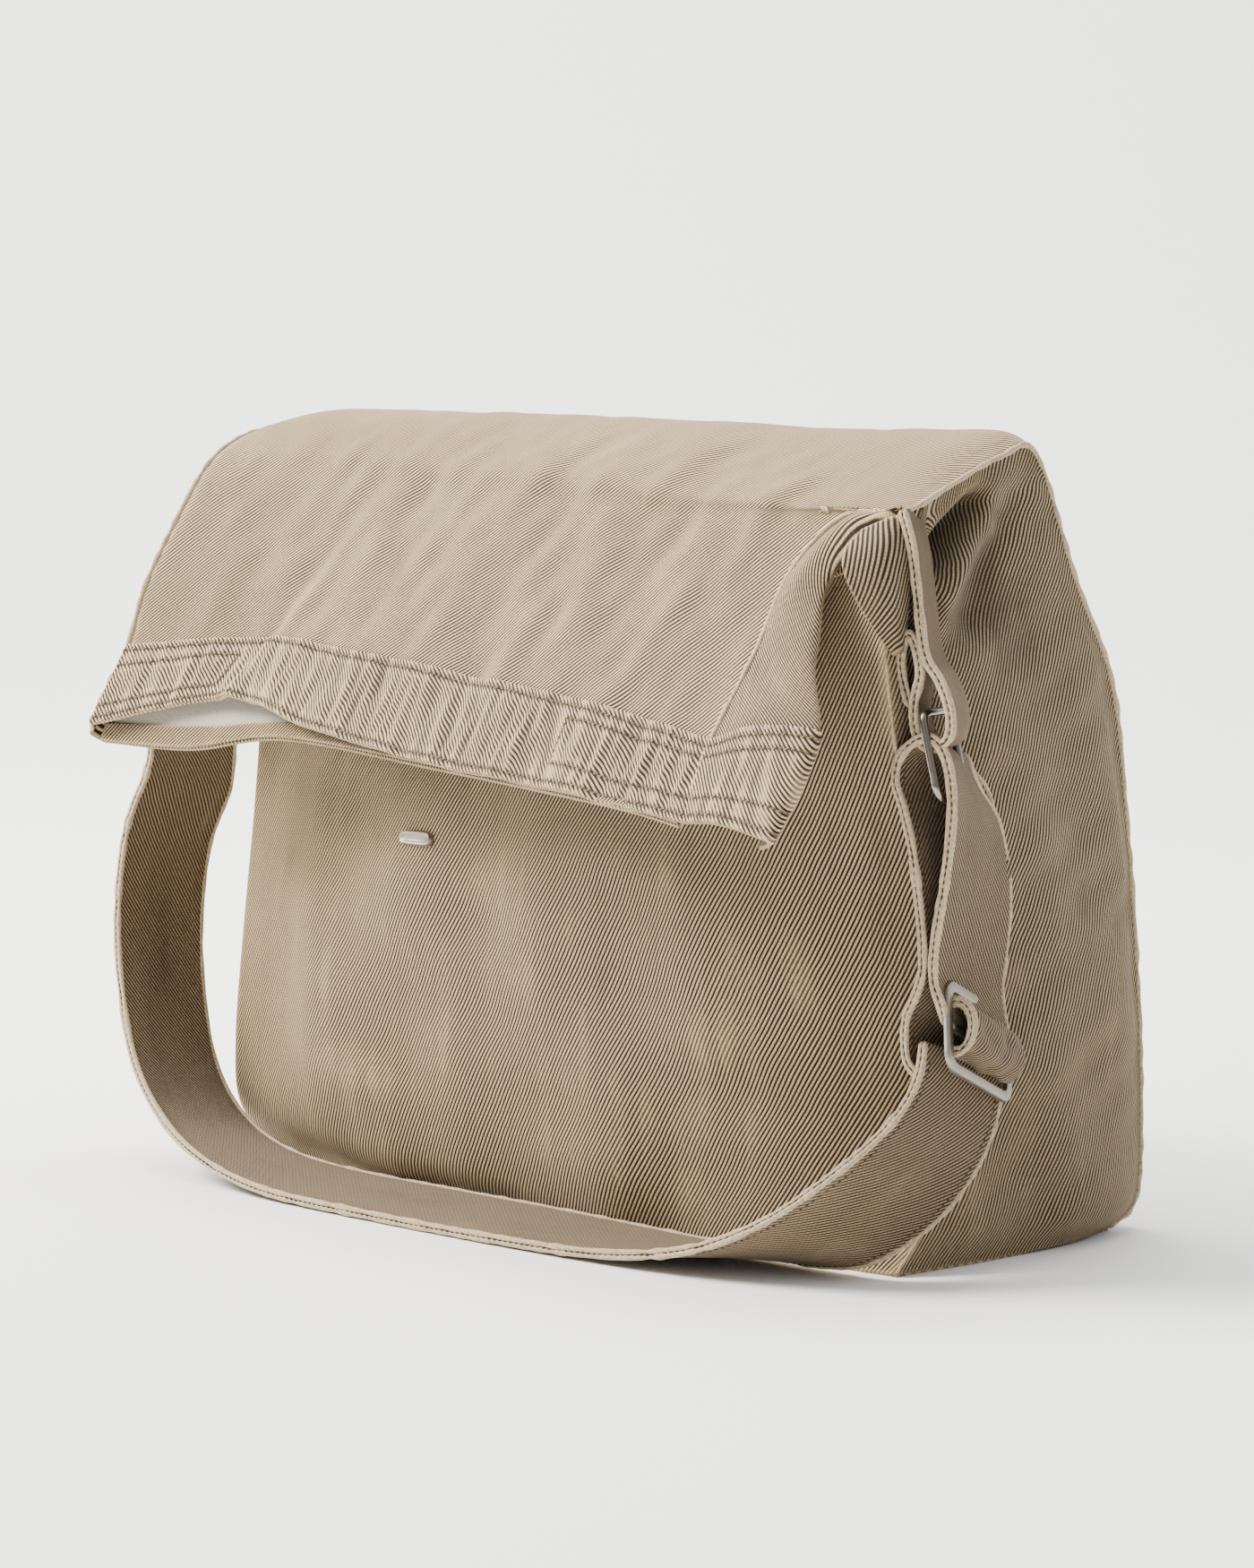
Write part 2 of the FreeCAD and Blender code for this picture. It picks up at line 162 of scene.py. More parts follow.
def new_piece(name, bm, material):
    """An object at the origin made from a bmesh, shaded smooth."""
    mesh = bpy.data.meshes.new(name)
    bm.to_mesh(mesh)
    bm.free()
    piece = bpy.data.objects.new(name, mesh)
    bpy.context.scene.collection.objects.link(piece)
    mesh.materials.append(material)
    for polygon in mesh.polygons:
        polygon.use_smooth = True
    return piece


def settle(piece):
    """Applies the piece's modifiers to its mesh."""
    bpy.context.view_layer.update()
    graph = bpy.context.evaluated_depsgraph_get()
    mesh = bpy.data.meshes.new_from_object(piece.evaluated_get(graph))
    piece.modifiers.clear()
    piece.data = mesh
    return piece


def mark_wear_and_shade(piece, gain=1.0, paint=None):
    """Stores how much each point stands proud of its neighbours, where washed cloth turns pale; the optional
    paint adds painted shade to the same attribute.
    """
    mesh = piece.data
    count = len(mesh.vertices)
    co = np.empty(count * 3)
    mesh.vertices.foreach_get("co", co)
    co = co.reshape(-1, 3)
    normal = np.empty(count * 3)
    mesh.vertices.foreach_get("normal", normal)
    normal = normal.reshape(-1, 3)
    edges = np.empty(len(mesh.edges) * 2, int)
    mesh.edges.foreach_get("vertices", edges)
    edges = edges.reshape(-1, 2)
    total = np.zeros((count, 3))
    links = np.zeros(count)
    length = np.zeros(count)
    span = np.linalg.norm(co[edges[:, 0]] - co[edges[:, 1]], axis=1)
    for one, other in ((0, 1), (1, 0)):
        np.add.at(total, edges[:, one], co[edges[:, other]])
        np.add.at(links, edges[:, one], 1)
        np.add.at(length, edges[:, one], span)
    links = np.maximum(links, 1)
    bend = -np.einsum("ij,ij->i", normal, total / links[:, None] - co)
    wear_and_shade = gain * bend / np.maximum(length / links, 1e-6)
    for _ in range(2):
        spread = np.zeros(count)
        for one, other in ((0, 1), (1, 0)):
            np.add.at(spread, edges[:, one], wear_and_shade[edges[:, other]])
        wear_and_shade = 0.5 * wear_and_shade + 0.5 * spread / links
    if paint is not None:
        # the paint adds painted shade: stitch grooves and the tuck under the top seam
        wear_and_shade = wear_and_shade + paint(co)
    attribute = mesh.attributes.new("wear_and_shade", "FLOAT", "POINT")
    attribute.data.foreach_set("value", np.clip(wear_and_shade, -1, 1).astype(np.float32))


def cloth(name, place, flat, across, along, material, thickness=CLOTH_GAUGE, rim=0.0):
    """A sheet of cloth: a grid put in place by the surface, with its flat place kept as its UV map."""
    bm = bmesh.new()
    bmesh.ops.create_grid(bm, x_segments=across, y_segments=along, size=0.5)
    layer = bm.loops.layers.uv.new("cloth")
    spots = np.array([vert.co[:2] for vert in bm.verts]) + 0.5
    points = place(spots[:, 0], spots[:, 1])
    spread = flat(spots[:, 0], spots[:, 1], points)
    for vert, point in zip(bm.verts, points):
        vert.co = point
    for face in bm.faces:
        for loop in face.loops:
            loop[layer].uv = spread[loop.vert.index]
    piece = new_piece(name, bm, material)
    wall = piece.modifiers.new("wall", "SOLIDIFY")
    wall.thickness = thickness
    wall.offset = -1
    if rim:
        edge = piece.modifiers.new("rim", "BEVEL")
        edge.width = rim
        edge.segments = 3
        edge.limit_method = "ANGLE"
        edge.angle_limit = math.radians(50)
    return settle(piece)


def distance_along(line):
    """How far each point of a line is from its start, along the line."""
    return np.concatenate([[0], np.cumsum(np.linalg.norm(np.diff(line, axis=0), axis=1))])


def middle_run(surface, w):
    """How far along its middle line each w of a surface is."""
    fine = np.linspace(0, 1, 400)
    return np.interp(w, fine, distance_along(surface(np.full(400, 0.5), fine)))


def by_width_and_run(surface):
    """Flat place of a wide panel: its own width, and the run along its middle line."""
    return lambda u, w, points: np.stack([points[:, 0], middle_run(surface, w)], axis=1)


def by_width_and_drop(u, w, points):
    """Flat place of a part of the flap: its width, and its drop made longer for the slant."""
    return np.stack([points[:, 0], points[:, 2] * 1.2], axis=1)


def by_walk(place, axis, count=120):
    """Flat place of a side piece: the distances walked over it, across and up or down."""
    steps = np.linspace(0, 1, count)
    grid_u, grid_w = (grid.ravel() for grid in np.meshgrid(steps, steps))
    spots = place(grid_u, grid_w).reshape(count, count, 3)
    walked = np.cumsum(np.linalg.norm(np.diff(spots[:, :, :2], axis=1), axis=2), axis=1)
    walked = np.concatenate([np.zeros((count, 1)), walked], axis=1)
    way = np.sign(spots[0, -1, axis] - spots[0, 0, axis])
    middle = count // 2
    level = spots[:, middle:middle + 1, axis] + way * (walked - walked[:, middle:middle + 1])
    climbed = np.cumsum(np.linalg.norm(np.diff(spots, axis=0), axis=2), axis=0)
    climbed = np.concatenate([np.zeros((1, count)), climbed], axis=0)
    rise_way = np.sign(spots[-1, middle, 2] - spots[0, middle, 2])
    height = spots[0, middle, 2] + rise_way * climbed

    def read(table, low, left, rise, part):
        below = table[low, left] * (1 - part) + table[low, left + 1] * part
        above = table[low + 1, left] * (1 - part) + table[low + 1, left + 1] * part
        return below * (1 - rise) + above * rise

    def flat(u, w, points):
        column, row = u * (count - 1), w * (count - 1)
        left, low = np.minimum(column.astype(int), count - 2), np.minimum(row.astype(int), count - 2)
        part, rise = column - left, row - low
        return np.stack([read(table, low, left, rise, part) for table in (level, height)], axis=1)
    return flat


# ------------------------------------------------------------------ materials
def node_group(name, inputs, outputs):
    group = bpy.data.node_groups.new(name, "ShaderNodeTree")
    for label, kind, value in inputs:
        socket = group.interface.new_socket(label, in_out="INPUT", socket_type=kind)
        if value is not None:
            socket.default_value = value
    for label, kind in outputs:
        group.interface.new_socket(label, in_out="OUTPUT", socket_type=kind)
    return group, group.nodes.new("NodeGroupInput"), group.nodes.new("NodeGroupOutput")


def math_node(tree, operation, *values):
    node = tree.nodes.new("ShaderNodeMath")
    node.operation = operation
    for index, value in enumerate(values):
        if isinstance(value, (int, float)):
            node.inputs[index].default_value = value
        else:
            tree.links.new(value, node.inputs[index])
    return node.outputs[0]


def colour_mix(tree, share, first, second):
    node = tree.nodes.new("ShaderNodeMix")
    node.data_type = "RGBA"
    for socket, value in ((node.inputs[0], share), (node.inputs[6], first), (node.inputs[7], second)):
        if isinstance(value, (int, float)):
            socket.default_value = value
        elif isinstance(value, tuple):
            socket.default_value = (*value, 1)
        else:
            tree.links.new(value, socket)
    return node.outputs[2]


def noise_node(tree, vector, scale, detail=3.0, roughness=0.5):
    node = tree.nodes.new("ShaderNodeTexNoise")
    node.inputs["Scale"].default_value = scale
    node.inputs["Detail"].default_value = detail
    node.inputs["Roughness"].default_value = roughness
    tree.links.new(vector, node.inputs["Vector"])
    return node.outputs["Fac"]


def soft_range(tree, value, low, high):
    node = tree.nodes.new("ShaderNodeMapRange")
    node.interpolation_type = "SMOOTHSTEP"
    node.inputs["From Min"].default_value = low
    node.inputs["From Max"].default_value = high
    tree.links.new(value, node.inputs["Value"])
    return node.outputs["Result"]


def make_twill_group():
    """Diagonal twill ridges on the flat cloth, each broken into short yarn floats."""
    group, inlet, outlet = node_group(
        "twill_weave",
        [("Cloth", "NodeSocketVector", None), ("Pitch", "NodeSocketFloat", 1.55 * MM),
         ("Angle", "NodeSocketFloat", 1.1), ("Waver", "NodeSocketFloat", 0.5)],
        [("Ridge", "NodeSocketFloat"), ("Height", "NodeSocketFloat")])
    cloth_at = inlet.outputs["Cloth"]
    split = group.nodes.new("ShaderNodeSeparateXYZ")
    group.links.new(cloth_at, split.inputs[0])
    across, along = split.outputs[0], split.outputs[1]
    cosine = math_node(group, "COSINE", inlet.outputs["Angle"])
    sine = math_node(group, "SINE", inlet.outputs["Angle"])
    side = math_node(group, "SUBTRACT", math_node(group, "MULTIPLY", across, sine),
                     math_node(group, "MULTIPLY", along, cosine))
    run = math_node(group, "ADD", math_node(group, "MULTIPLY", across, cosine),
                    math_node(group, "MULTIPLY", along, sine))
    pitch = inlet.outputs["Pitch"]
    drift = math_node(group, "SUBTRACT", noise_node(group, cloth_at, 70, 3), 0.5)
    drift = math_node(group, "MULTIPLY", drift, inlet.outputs["Waver"])
    ribs = math_node(group, "ADD", math_node(group, "DIVIDE", side, pitch), drift)
    wave = math_node(group, "PINGPONG", ribs, 0.5)
    ridge = soft_range(group, wave, 0.14, 0.38)
    step = math_node(group, "MULTIPLY", math_node(group, "FLOOR", ribs), 0.37)
    float_length = math_node(group, "MULTIPLY", pitch, 0.9)
    floats = math_node(group, "ADD", math_node(group, "DIVIDE", run, float_length), step)
    yarn = math_node(group, "PINGPONG", floats, 0.5)
    yarn = soft_range(group, yarn, 0.0, 0.3)
    fleck = noise_node(group, cloth_at, 900, 2)
    dent = math_node(group, "ADD", 0.72, math_node(group, "MULTIPLY", yarn, 0.28))
    body = math_node(group, "MULTIPLY", ridge, dent)
    specks = math_node(group, "ADD", 0.7, math_node(group, "MULTIPLY", fleck, 0.6))
    shade = math_node(group, "MULTIPLY", body, specks)
    group.links.new(shade, outlet.inputs["Ridge"])
    group.links.new(body, outlet.inputs["Height"])
    return group


def make_wash_group():
    """Uneven washing: broad pale clouds, long faint streaks and fine speckle, from -1 to 1."""
    group, inlet, outlet = node_group(
        "wash_marks", [("Cloth", "NodeSocketVector", None), ("Place", "NodeSocketVector", None)],
        [("Wash", "NodeSocketFloat")])
    clouds = noise_node(group, inlet.outputs["Place"], 14, 4, 0.55)
    stretch = group.nodes.new("ShaderNodeMapping")
    stretch.inputs["Scale"].default_value = (60, 9, 20)
    stretch.inputs["Rotation"].default_value = (0, 0, 0.25)
    group.links.new(inlet.outputs["Cloth"], stretch.inputs["Vector"])
    streaks = noise_node(group, stretch.outputs[0], 1, 4, 0.6)
    speckle = noise_node(group, inlet.outputs["Cloth"], 420, 3, 0.7)
    total = math_node(group, "ADD", math_node(group, "MULTIPLY", clouds, 1.1),
                      math_node(group, "MULTIPLY", streaks, 1.1))
    total = math_node(group, "ADD", total, math_node(group, "MULTIPLY", speckle, 0.5))
    group.links.new(math_node(group, "SUBTRACT", total, 1.35), outlet.inputs["Wash"])
    return group


TWILL = make_twill_group()
WASH = make_wash_group()


def shader(name, roughness, metallic=0.0, sheen=0.0):
    material = bpy.data.materials.new(name)
    material.use_nodes = True
    surface = material.node_tree.nodes["Principled BSDF"]
    surface.inputs["Roughness"].default_value = roughness
    surface.inputs["Metallic"].default_value = metallic
    surface.inputs["Sheen Weight"].default_value = sheen
    surface.inputs["Specular IOR Level"].default_value = 0.3
    return material, material.node_tree, surface


def bump_into(tree, surface, height, distance, strength=1.0):
    """Lets a height stand out of the surface by up to the given distance."""
    bump = tree.nodes.new("ShaderNodeBump")
    bump.inputs["Distance"].default_value = distance
    bump.inputs["Strength"].default_value = strength
    tree.links.new(height, bump.inputs["Height"])
    tree.links.new(bump.outputs["Normal"], surface.inputs["Normal"])


def denim(name, valley, ridge, worn, angle, pitch=1.55 * MM, waver=0.5, fade=1.0):
    """Washed twill: dark weft between pale ridges, paler where it is rubbed, darker where painted shade is
    stored with the wear.
    """
    material, tree, surface = shader(name, 0.92, sheen=0.08)
    surface.inputs["Sheen Roughness"].default_value = 0.5
    uv = tree.nodes.new("ShaderNodeUVMap")
    uv.uv_map = "cloth"
    where = tree.nodes.new("ShaderNodeTexCoord")
    weave = tree.nodes.new("ShaderNodeGroup")
    weave.node_tree = TWILL
    weave.inputs["Pitch"].default_value = pitch
    weave.inputs["Angle"].default_value = math.radians(angle)
    weave.inputs["Waver"].default_value = waver
    wash = tree.nodes.new("ShaderNodeGroup")
    wash.node_tree = WASH
    tree.links.new(uv.outputs[0], weave.inputs["Cloth"])
    tree.links.new(uv.outputs[0], wash.inputs["Cloth"])
    tree.links.new(where.outputs["Object"], wash.inputs["Place"])
    wear_and_shade_input = tree.nodes.new("ShaderNodeAttribute")
    wear_and_shade_input.attribute_name = "wear_and_shade"
    base = colour_mix(tree, weave.outputs["Ridge"], valley, ridge)
    washed = math_node(tree, "MULTIPLY", wash.outputs["Wash"], 1.3 * fade)
    pale = math_node(tree, "ADD", wear_and_shade_input.outputs["Fac"], washed)
    bright = soft_range(tree, pale, 0.05, 1.1)
    base = colour_mix(tree, math_node(tree, "MULTIPLY", bright, 0.42), base, worn)
    # below zero (concave creases, plus the painted shade of the stitch grooves and the tuck under the top
    # seam) the colour turns towards the dark weft
    dark = soft_range(tree, math_node(tree, "MULTIPLY", pale, -1), 0.0, 0.9)
    base = colour_mix(tree, math_node(tree, "MULTIPLY", dark, 0.55), base, valley)
    tree.links.new(base, surface.inputs["Base Color"])
    bump_into(tree, surface, weave.outputs["Height"], 0.5 * MM, 1.0)
    return material


def plain_cloth(name, colour, shade, scale, distance):
    """Cloth with a fine rib, for lining, seam edges and thread."""
    material, tree, surface = shader(name, 0.9, sheen=0.2)
    where = tree.nodes.new("ShaderNodeTexCoord")
    fuzz = noise_node(tree, where.outputs["Object"], scale, 4, 0.7)
    mixed = colour_mix(tree, soft_range(tree, fuzz, 0.3, 0.7), shade, colour)
    tree.links.new(mixed, surface.inputs["Base Color"])
    bump_into(tree, surface, fuzz, distance)
    return material


def metal(name, colour, roughness, brushed):
    """Nickel with faint brushing and small changes in gloss."""
    material, tree, surface = shader(name, roughness, metallic=1.0)
    where = tree.nodes.new("ShaderNodeTexCoord")
    stretch = tree.nodes.new("ShaderNodeMapping")
    stretch.inputs["Scale"].default_value = (1500, 120, 1500)
    tree.links.new(where.outputs["Object"], stretch.inputs["Vector"])
    grain = noise_node(tree, stretch.outputs[0], 1, 3)
    smudge = noise_node(tree, where.outputs["Object"], 160, 3)
    gloss = math_node(tree, "ADD", math_node(tree, "MULTIPLY", smudge, 0.12),
                      math_node(tree, "MULTIPLY", grain, brushed))
    tree.links.new(math_node(tree, "ADD", gloss, roughness - 0.06), surface.inputs["Roughness"])
    duller = tuple(part * 0.93 for part in colour)
    tree.links.new(colour_mix(tree, smudge, duller, colour), surface.inputs["Base Color"])
    bump_into(tree, surface, grain, 0.02 * MM, 0.4)
    return material


BAG_VALLEY = (0.010, 0.005, 0.0015)
BAG_RIDGE = (0.56, 0.395, 0.200)
BAG_WORN = (0.60, 0.45, 0.262)
# Painted shade: the side colours are the front's ridge and worn colours darkened to about 0.78, so the side
# panels, lobe and bottom look shaded
SHADED_SIDE_RIDGE = (0.43, 0.31, 0.158)
SHADED_SIDE_WORN = (0.46, 0.35, 0.205)
DENIM_FRONT = denim("bag_denim_front", BAG_VALLEY, BAG_RIDGE, BAG_WORN, 61, 1.75 * MM)
DENIM_SIDE_SHADED = denim("bag_denim_side_painted_shade", BAG_VALLEY, SHADED_SIDE_RIDGE, SHADED_SIDE_WORN, 66, 1.8 * MM)
DENIM_FOLD = denim("flap_side_denim", BAG_VALLEY, BAG_RIDGE, BAG_WORN, 60, 1.8 * MM)
FLAP_COLOURS = ((0.014, 0.007, 0.002), (0.70, 0.51, 0.275), (0.72, 0.55, 0.335))
DENIM_FLAP = denim("flap_denim", *FLAP_COLOURS, -46, fade=0.9)
STRAP_COLOURS = ((0.016, 0.008, 0.003), (0.34, 0.24, 0.125), (0.46, 0.35, 0.21))
DENIM_STRAP = denim("strap_denim", *STRAP_COLOURS, 52, pitch=1.6 * MM)
CREAM_SEAM = plain_cloth("worn_seam_edge", (0.56, 0.455, 0.30), (0.30, 0.215, 0.115), 900, 0.5 * MM)
THREAD = plain_cloth("olive_thread", (0.12, 0.08, 0.03), (0.075, 0.05, 0.018), 1500, 0.1 * MM)
DARK_THREAD = plain_cloth("brown_thread", (0.07, 0.042, 0.02), (0.035, 0.021, 0.01), 1500, 0.1 * MM)
LINING = plain_cloth("lining_cotton", (0.50, 0.455, 0.375), (0.34, 0.30, 0.24), 1400, 0.15 * MM)
SATIN = metal("satin_nickel", (0.30, 0.27, 0.225), 0.38, 0.10)
POLISHED = metal("polished_nickel", (0.26, 0.235, 0.20), 0.22, 0.03)


# ------------------------------------------------------------------ camera and light
AMBIENT = 1.5
KEY = 330
WASH_LIGHT = 290
CAMERA_TURN = math.radians(45.73)
CAMERA_DIP = math.radians(4.95)
SWEEP_START = 2.2
SWEEP_RADIUS = 2.0


def make_camera():
    camera = bpy.data.objects.new("camera", bpy.data.cameras.new("camera"))
    bpy.context.scene.collection.objects.link(camera)
    camera.location = (1.305, -1.302, 0.339)
    level = math.cos(CAMERA_DIP)
    aim = Vector((-math.sin(CAMERA_TURN) * level, math.cos(CAMERA_TURN) * level, -math.sin(CAMERA_DIP)))
    camera.rotation_euler = aim.to_track_quat("-Z", "Y").to_euler()
    camera.data.lens = 96.75
    camera.data.sensor_width = 36
    camera.data.clip_start = 0.05
    bpy.context.scene.camera = camera


def area_light(name, spot, target, size, power, colour):
    lamp = bpy.data.lights.new(name, "AREA")
    lamp.shape = "RECTANGLE"
    lamp.size, lamp.size_y = size
    lamp.energy = power
    lamp.color = colour
    holder = bpy.data.objects.new(name, lamp)
    bpy.context.scene.collection.objects.link(holder)
    holder.location = spot
    holder.rotation_euler = (Vector(target) - Vector(spot)).to_track_quat("-Z", "Y").to_euler()


def make_studio():
    """A pale floor that turns up into a pale wall behind the bag, and soft light from the front left."""
    bm = bmesh.new()
    bmesh.ops.create_grid(bm, x_segments=4, y_segments=80, size=0.5)
    away = np.array((-math.sin(CAMERA_TURN), math.cos(CAMERA_TURN)))
    side = np.array((math.cos(CAMERA_TURN), math.sin(CAMERA_TURN)))
    for vert in bm.verts:
        reach = (vert.co.y + 0.5) * 11.0 - 3.5
        past = reach - SWEEP_START
        quarter = SWEEP_RADIUS * math.pi / 2
        bend = min(max(past, 0), quarter)
        ahead = min(reach, SWEEP_START) + SWEEP_RADIUS * math.sin(bend / SWEEP_RADIUS)
        height = SWEEP_RADIUS * (1 - math.cos(bend / SWEEP_RADIUS)) + max(past - quarter, 0)
        spot = away * ahead + side * vert.co.x * 12
        vert.co = (spot[0], spot[1], height)
    material, tree, surface = shader("studio_floor", 0.9)
    surface.inputs["Base Color"].default_value = (0.90, 0.89, 0.87, 1)
    floor = new_piece("studio_floor", bm, material)
    world = bpy.data.worlds.new("studio")
    bpy.context.scene.world = world
    world.use_nodes = True
    sky = world.node_tree
    heading = sky.nodes.new("ShaderNodeTexCoord")
    split = sky.nodes.new("ShaderNodeSeparateXYZ")
    sky.links.new(heading.outputs["Generated"], split.inputs[0])
    dim = soft_range(sky, math_node(sky, "SUBTRACT", split.outputs[1], split.outputs[0]), -1.2, 1.0)
    power = math_node(sky, "ADD", 0.35 * AMBIENT, math_node(sky, "MULTIPLY", dim, 1.1 * AMBIENT))
    background = sky.nodes["Background"]
    background.inputs[0].default_value = (0.95, 0.97, 1.0, 1)
    sky.links.new(power, background.inputs[1])
    area_light("key", (-1.9, -1.7, 2.3), (0, 0, 0.15), (1.5, 1.5), KEY, (1.0, 0.97, 0.92))
    area_light("wall_wash", (-0.9, 0.4, 3.4), (-2.6, 2.4, 0.6), (2.5, 2.0), WASH_LIGHT, (1.0, 1.0, 1.0))


make_camera()
make_studio()


# ------------------------------------------------------------------ tubes, stitches and small metal
def frames_along(line, closed):
    """Tangents and two steady cross directions along a line of points."""
    if closed:
        tangent = np.roll(line, -1, axis=0) - np.roll(line, 1, axis=0)
    else:
        tangent = np.gradient(line, axis=0)
    tangent /= np.maximum(np.linalg.norm(tangent, axis=1, keepdims=True), 1e-12)
    side = np.zeros_like(tangent)
    first = np.cross(tangent[0], (0.12, 0.31, 0.94))
    side[0] = first / np.linalg.norm(first)
    for index in range(1, len(line)):
        kept = side[index - 1] - tangent[index] * (side[index - 1] @ tangent[index])
        side[index] = kept / np.linalg.norm(kept)
    return tangent, side, np.cross(tangent, side)


def shell(name, place, across, along, material):
    """A closed skin made from a grid whose edges meet when it is put in place."""
    bm = bmesh.new()
    bmesh.ops.create_grid(bm, x_segments=across, y_segments=along, size=0.5)
    spots = np.array([vert.co[:2] for vert in bm.verts]) + 0.5
    for vert, point in zip(bm.verts, place(spots[:, 0], spots[:, 1])):
        vert.co = point
    bmesh.ops.remove_doubles(bm, verts=bm.verts, dist=2e-6)
    bmesh.ops.recalc_face_normals(bm, faces=bm.faces)
    return new_piece(name, bm, material)


def tube(name, points, radius, material, sides=10, steps=None, closed=False, uneven=0.0):
    """A round wire or cord along control points in metres, with rounded ends."""
    points = np.asarray(points, float)
    length = np.linalg.norm(np.diff(points, axis=0), axis=1).sum()
    steps = steps or max(12, int(length / (radius * 1.2)))
    line = even_line(points, steps + 1)
    tangent, side, lift = frames_along(line[:-1] if closed else line, closed)
    if closed:
        tangent, side, lift = (np.vstack([part, part[:1]]) for part in (tangent, side, lift))
    wobble = 1 + uneven * ripple(line[:, 0] + line[:, 2], line[:, 1], 9 * MM, 1)
    ends = np.ones(len(line))
    if not closed:
        ends[[0, -1]] = 0
        ends[[1, -2]] = 0.75

    def place(u, w):
        index = np.rint(w * steps).astype(int)
        angle = u * math.tau
        width = (radius * wobble * ends)[index][:, None]
        around = np.cos(angle)[:, None] * side[index] + np.sin(angle)[:, None] * lift[index]
        return line[index] + width * around
    return shell(name, place, sides, steps, material)


def on_surface(place, track, pitch, lift=0.0):
    """Spots every `pitch` along a track of (u, w) corners on a surface, with directions and normals."""
    track = np.asarray(track, float)
    parts = [np.linspace(a, b, 160)[:-1] for a, b in zip(track[:-1], track[1:])]
    fine = np.vstack([*parts, track[-1:]])
    points = place(fine[:, 0], fine[:, 1])
    reach = distance_along(points)
    wanted = np.arange(pitch / 2, reach[-1], pitch)
    spots = np.stack([np.interp(wanted, reach, fine[:, axis]) for axis in range(2)], axis=1)
    centre = place(spots[:, 0], spots[:, 1])
    ahead = np.stack([np.interp(wanted + 0.3 * MM, reach, points[:, axis]) for axis in range(3)], axis=1)
    behind = np.stack([np.interp(wanted - 0.3 * MM, reach, points[:, axis]) for axis in range(3)], axis=1)
    normal = normals_of(place, spots[:, 0], spots[:, 1])
    return centre + normal * lift, ahead - behind, normal


def stitches(name, runs, material, length=2.3 * MM, width=0.42 * MM):
    """Rows of short thread stitches; each run is (spots, directions, normals)."""
    bm = bmesh.new()
    draw = np.random.RandomState(3)
    for spots, ahead, normals in runs:
        for spot, forward, up in zip(spots, ahead, normals):
            run = Vector(forward).normalized()
            side = Vector(up).cross(run).normalized()
            over = run.cross(side)
            lean = draw.uniform(-0.12, 0.12)
            run = (run + side * lean).normalized()
            turn = Matrix((run * length / 2, side * width, over * width * 0.8)).transposed().to_4x4()
            turn.translation = Vector(spot)
            bmesh.ops.create_icosphere(bm, subdivisions=1, radius=1, matrix=turn)
    return new_piece(name, bm, material)


# ------------------------------------------------------------------ the wide outer panel: back, top and flap
ACROSS = (0, 0.15, 0.31, 0.5, 0.66, 0.82, 1)
BACK_ROWS = [
    ((-197, 60, 1), (0, 60, 1), (197, 60, 1)),
    ((-200, 74, 12), (0, 78, 12), (200, 74, 12)),
    ((-201, 76, 45), (0, 84, 48), (201, 76, 45)),
    ((-201, 73, 103), (0, 86, 110), (201, 73, 103)),
    ((-200, 65, 178), (0, 80, 185), (200, 65, 178)),
    ((-200, 55, 231), (0, 66, 240), (200, 55, 231)),
    ((-199, 30, 276), (0, 42, 290), (200, 30, 276)),
    ((-205, 10, 325), (0, 20, 328), (198, 8, 325)),
    ((-212, -20, 338), (0, -5, 339), (198, -14, 324)),
    ((-220, -48, 335), (0, -34, 333), (199, -45, 313)),
]
FLAP_ROWS = [
    ((-221, -68, 329), (-150, -60, 326), (-80, -61, 322), (0, -63, 318),
     (70, -67, 312), (135, -71, 307), (199, -72, 303)),
    ((-221, -84, 318), (-150, -71, 312), (-80, -71, 308), (0, -72, 305),
     (70, -74, 301), (125, -75, 300), (169, -74, 301)),
    ((-222, -99, 297), (-150, -84, 292), (-80, -84, 289), (0, -85, 286),
     (70, -86, 283), (117, -87, 281), (153, -88, 279)),
    ((-222, -119, 265), (-150, -99, 268), (-80, -99, 264), (0, -101, 261),
     (70, -103, 257), (115, -105, 253), (153, -108, 248)),
    ((-222, -130, 237), (-150, -112, 242), (-80, -115, 238), (0, -119, 232),
     (70, -123, 225), (115, -126, 219), (150, -130, 214)),
    ((-222, -142, 218), (-152, -121, 228), (-82, -126, 220), (0, -131, 213),
     (70, -134, 208), (115, -137, 203), (152, -140, 199)),
    ((-222, -152, 202), (-153, -130, 215), (-85, -136, 205), (0, -142, 196),
     (70, -145, 191), (115, -148, 187), (155, -150, 183)),
]
BAND_START = 1 - 2 / 16
FOLD_ROW = 10 / 16


def filled_row(left, middle, right, sharpness=2.6):
    """Seven points across a panel that bows out in the middle."""
    a, b, c = (np.array(point, float) for point in (left, middle, right))
    return [a * (1 - s) + c * s + (b - (a + c) / 2) * (1 - abs(2 * s - 1) ** sharpness) for s in ACROSS]


def panel_rows(filled, given):
    """Rows of seven points: some filled in from three points, then some given whole."""
    return [filled_row(*row) for row in filled] + [[np.array(point, float) for point in row] for row in given]


def outer_shape():
    rows = panel_rows(BACK_ROWS, FLAP_ROWS)
    return through_rails([[row[index] for row in rows] for index in range(6, -1, -1)])


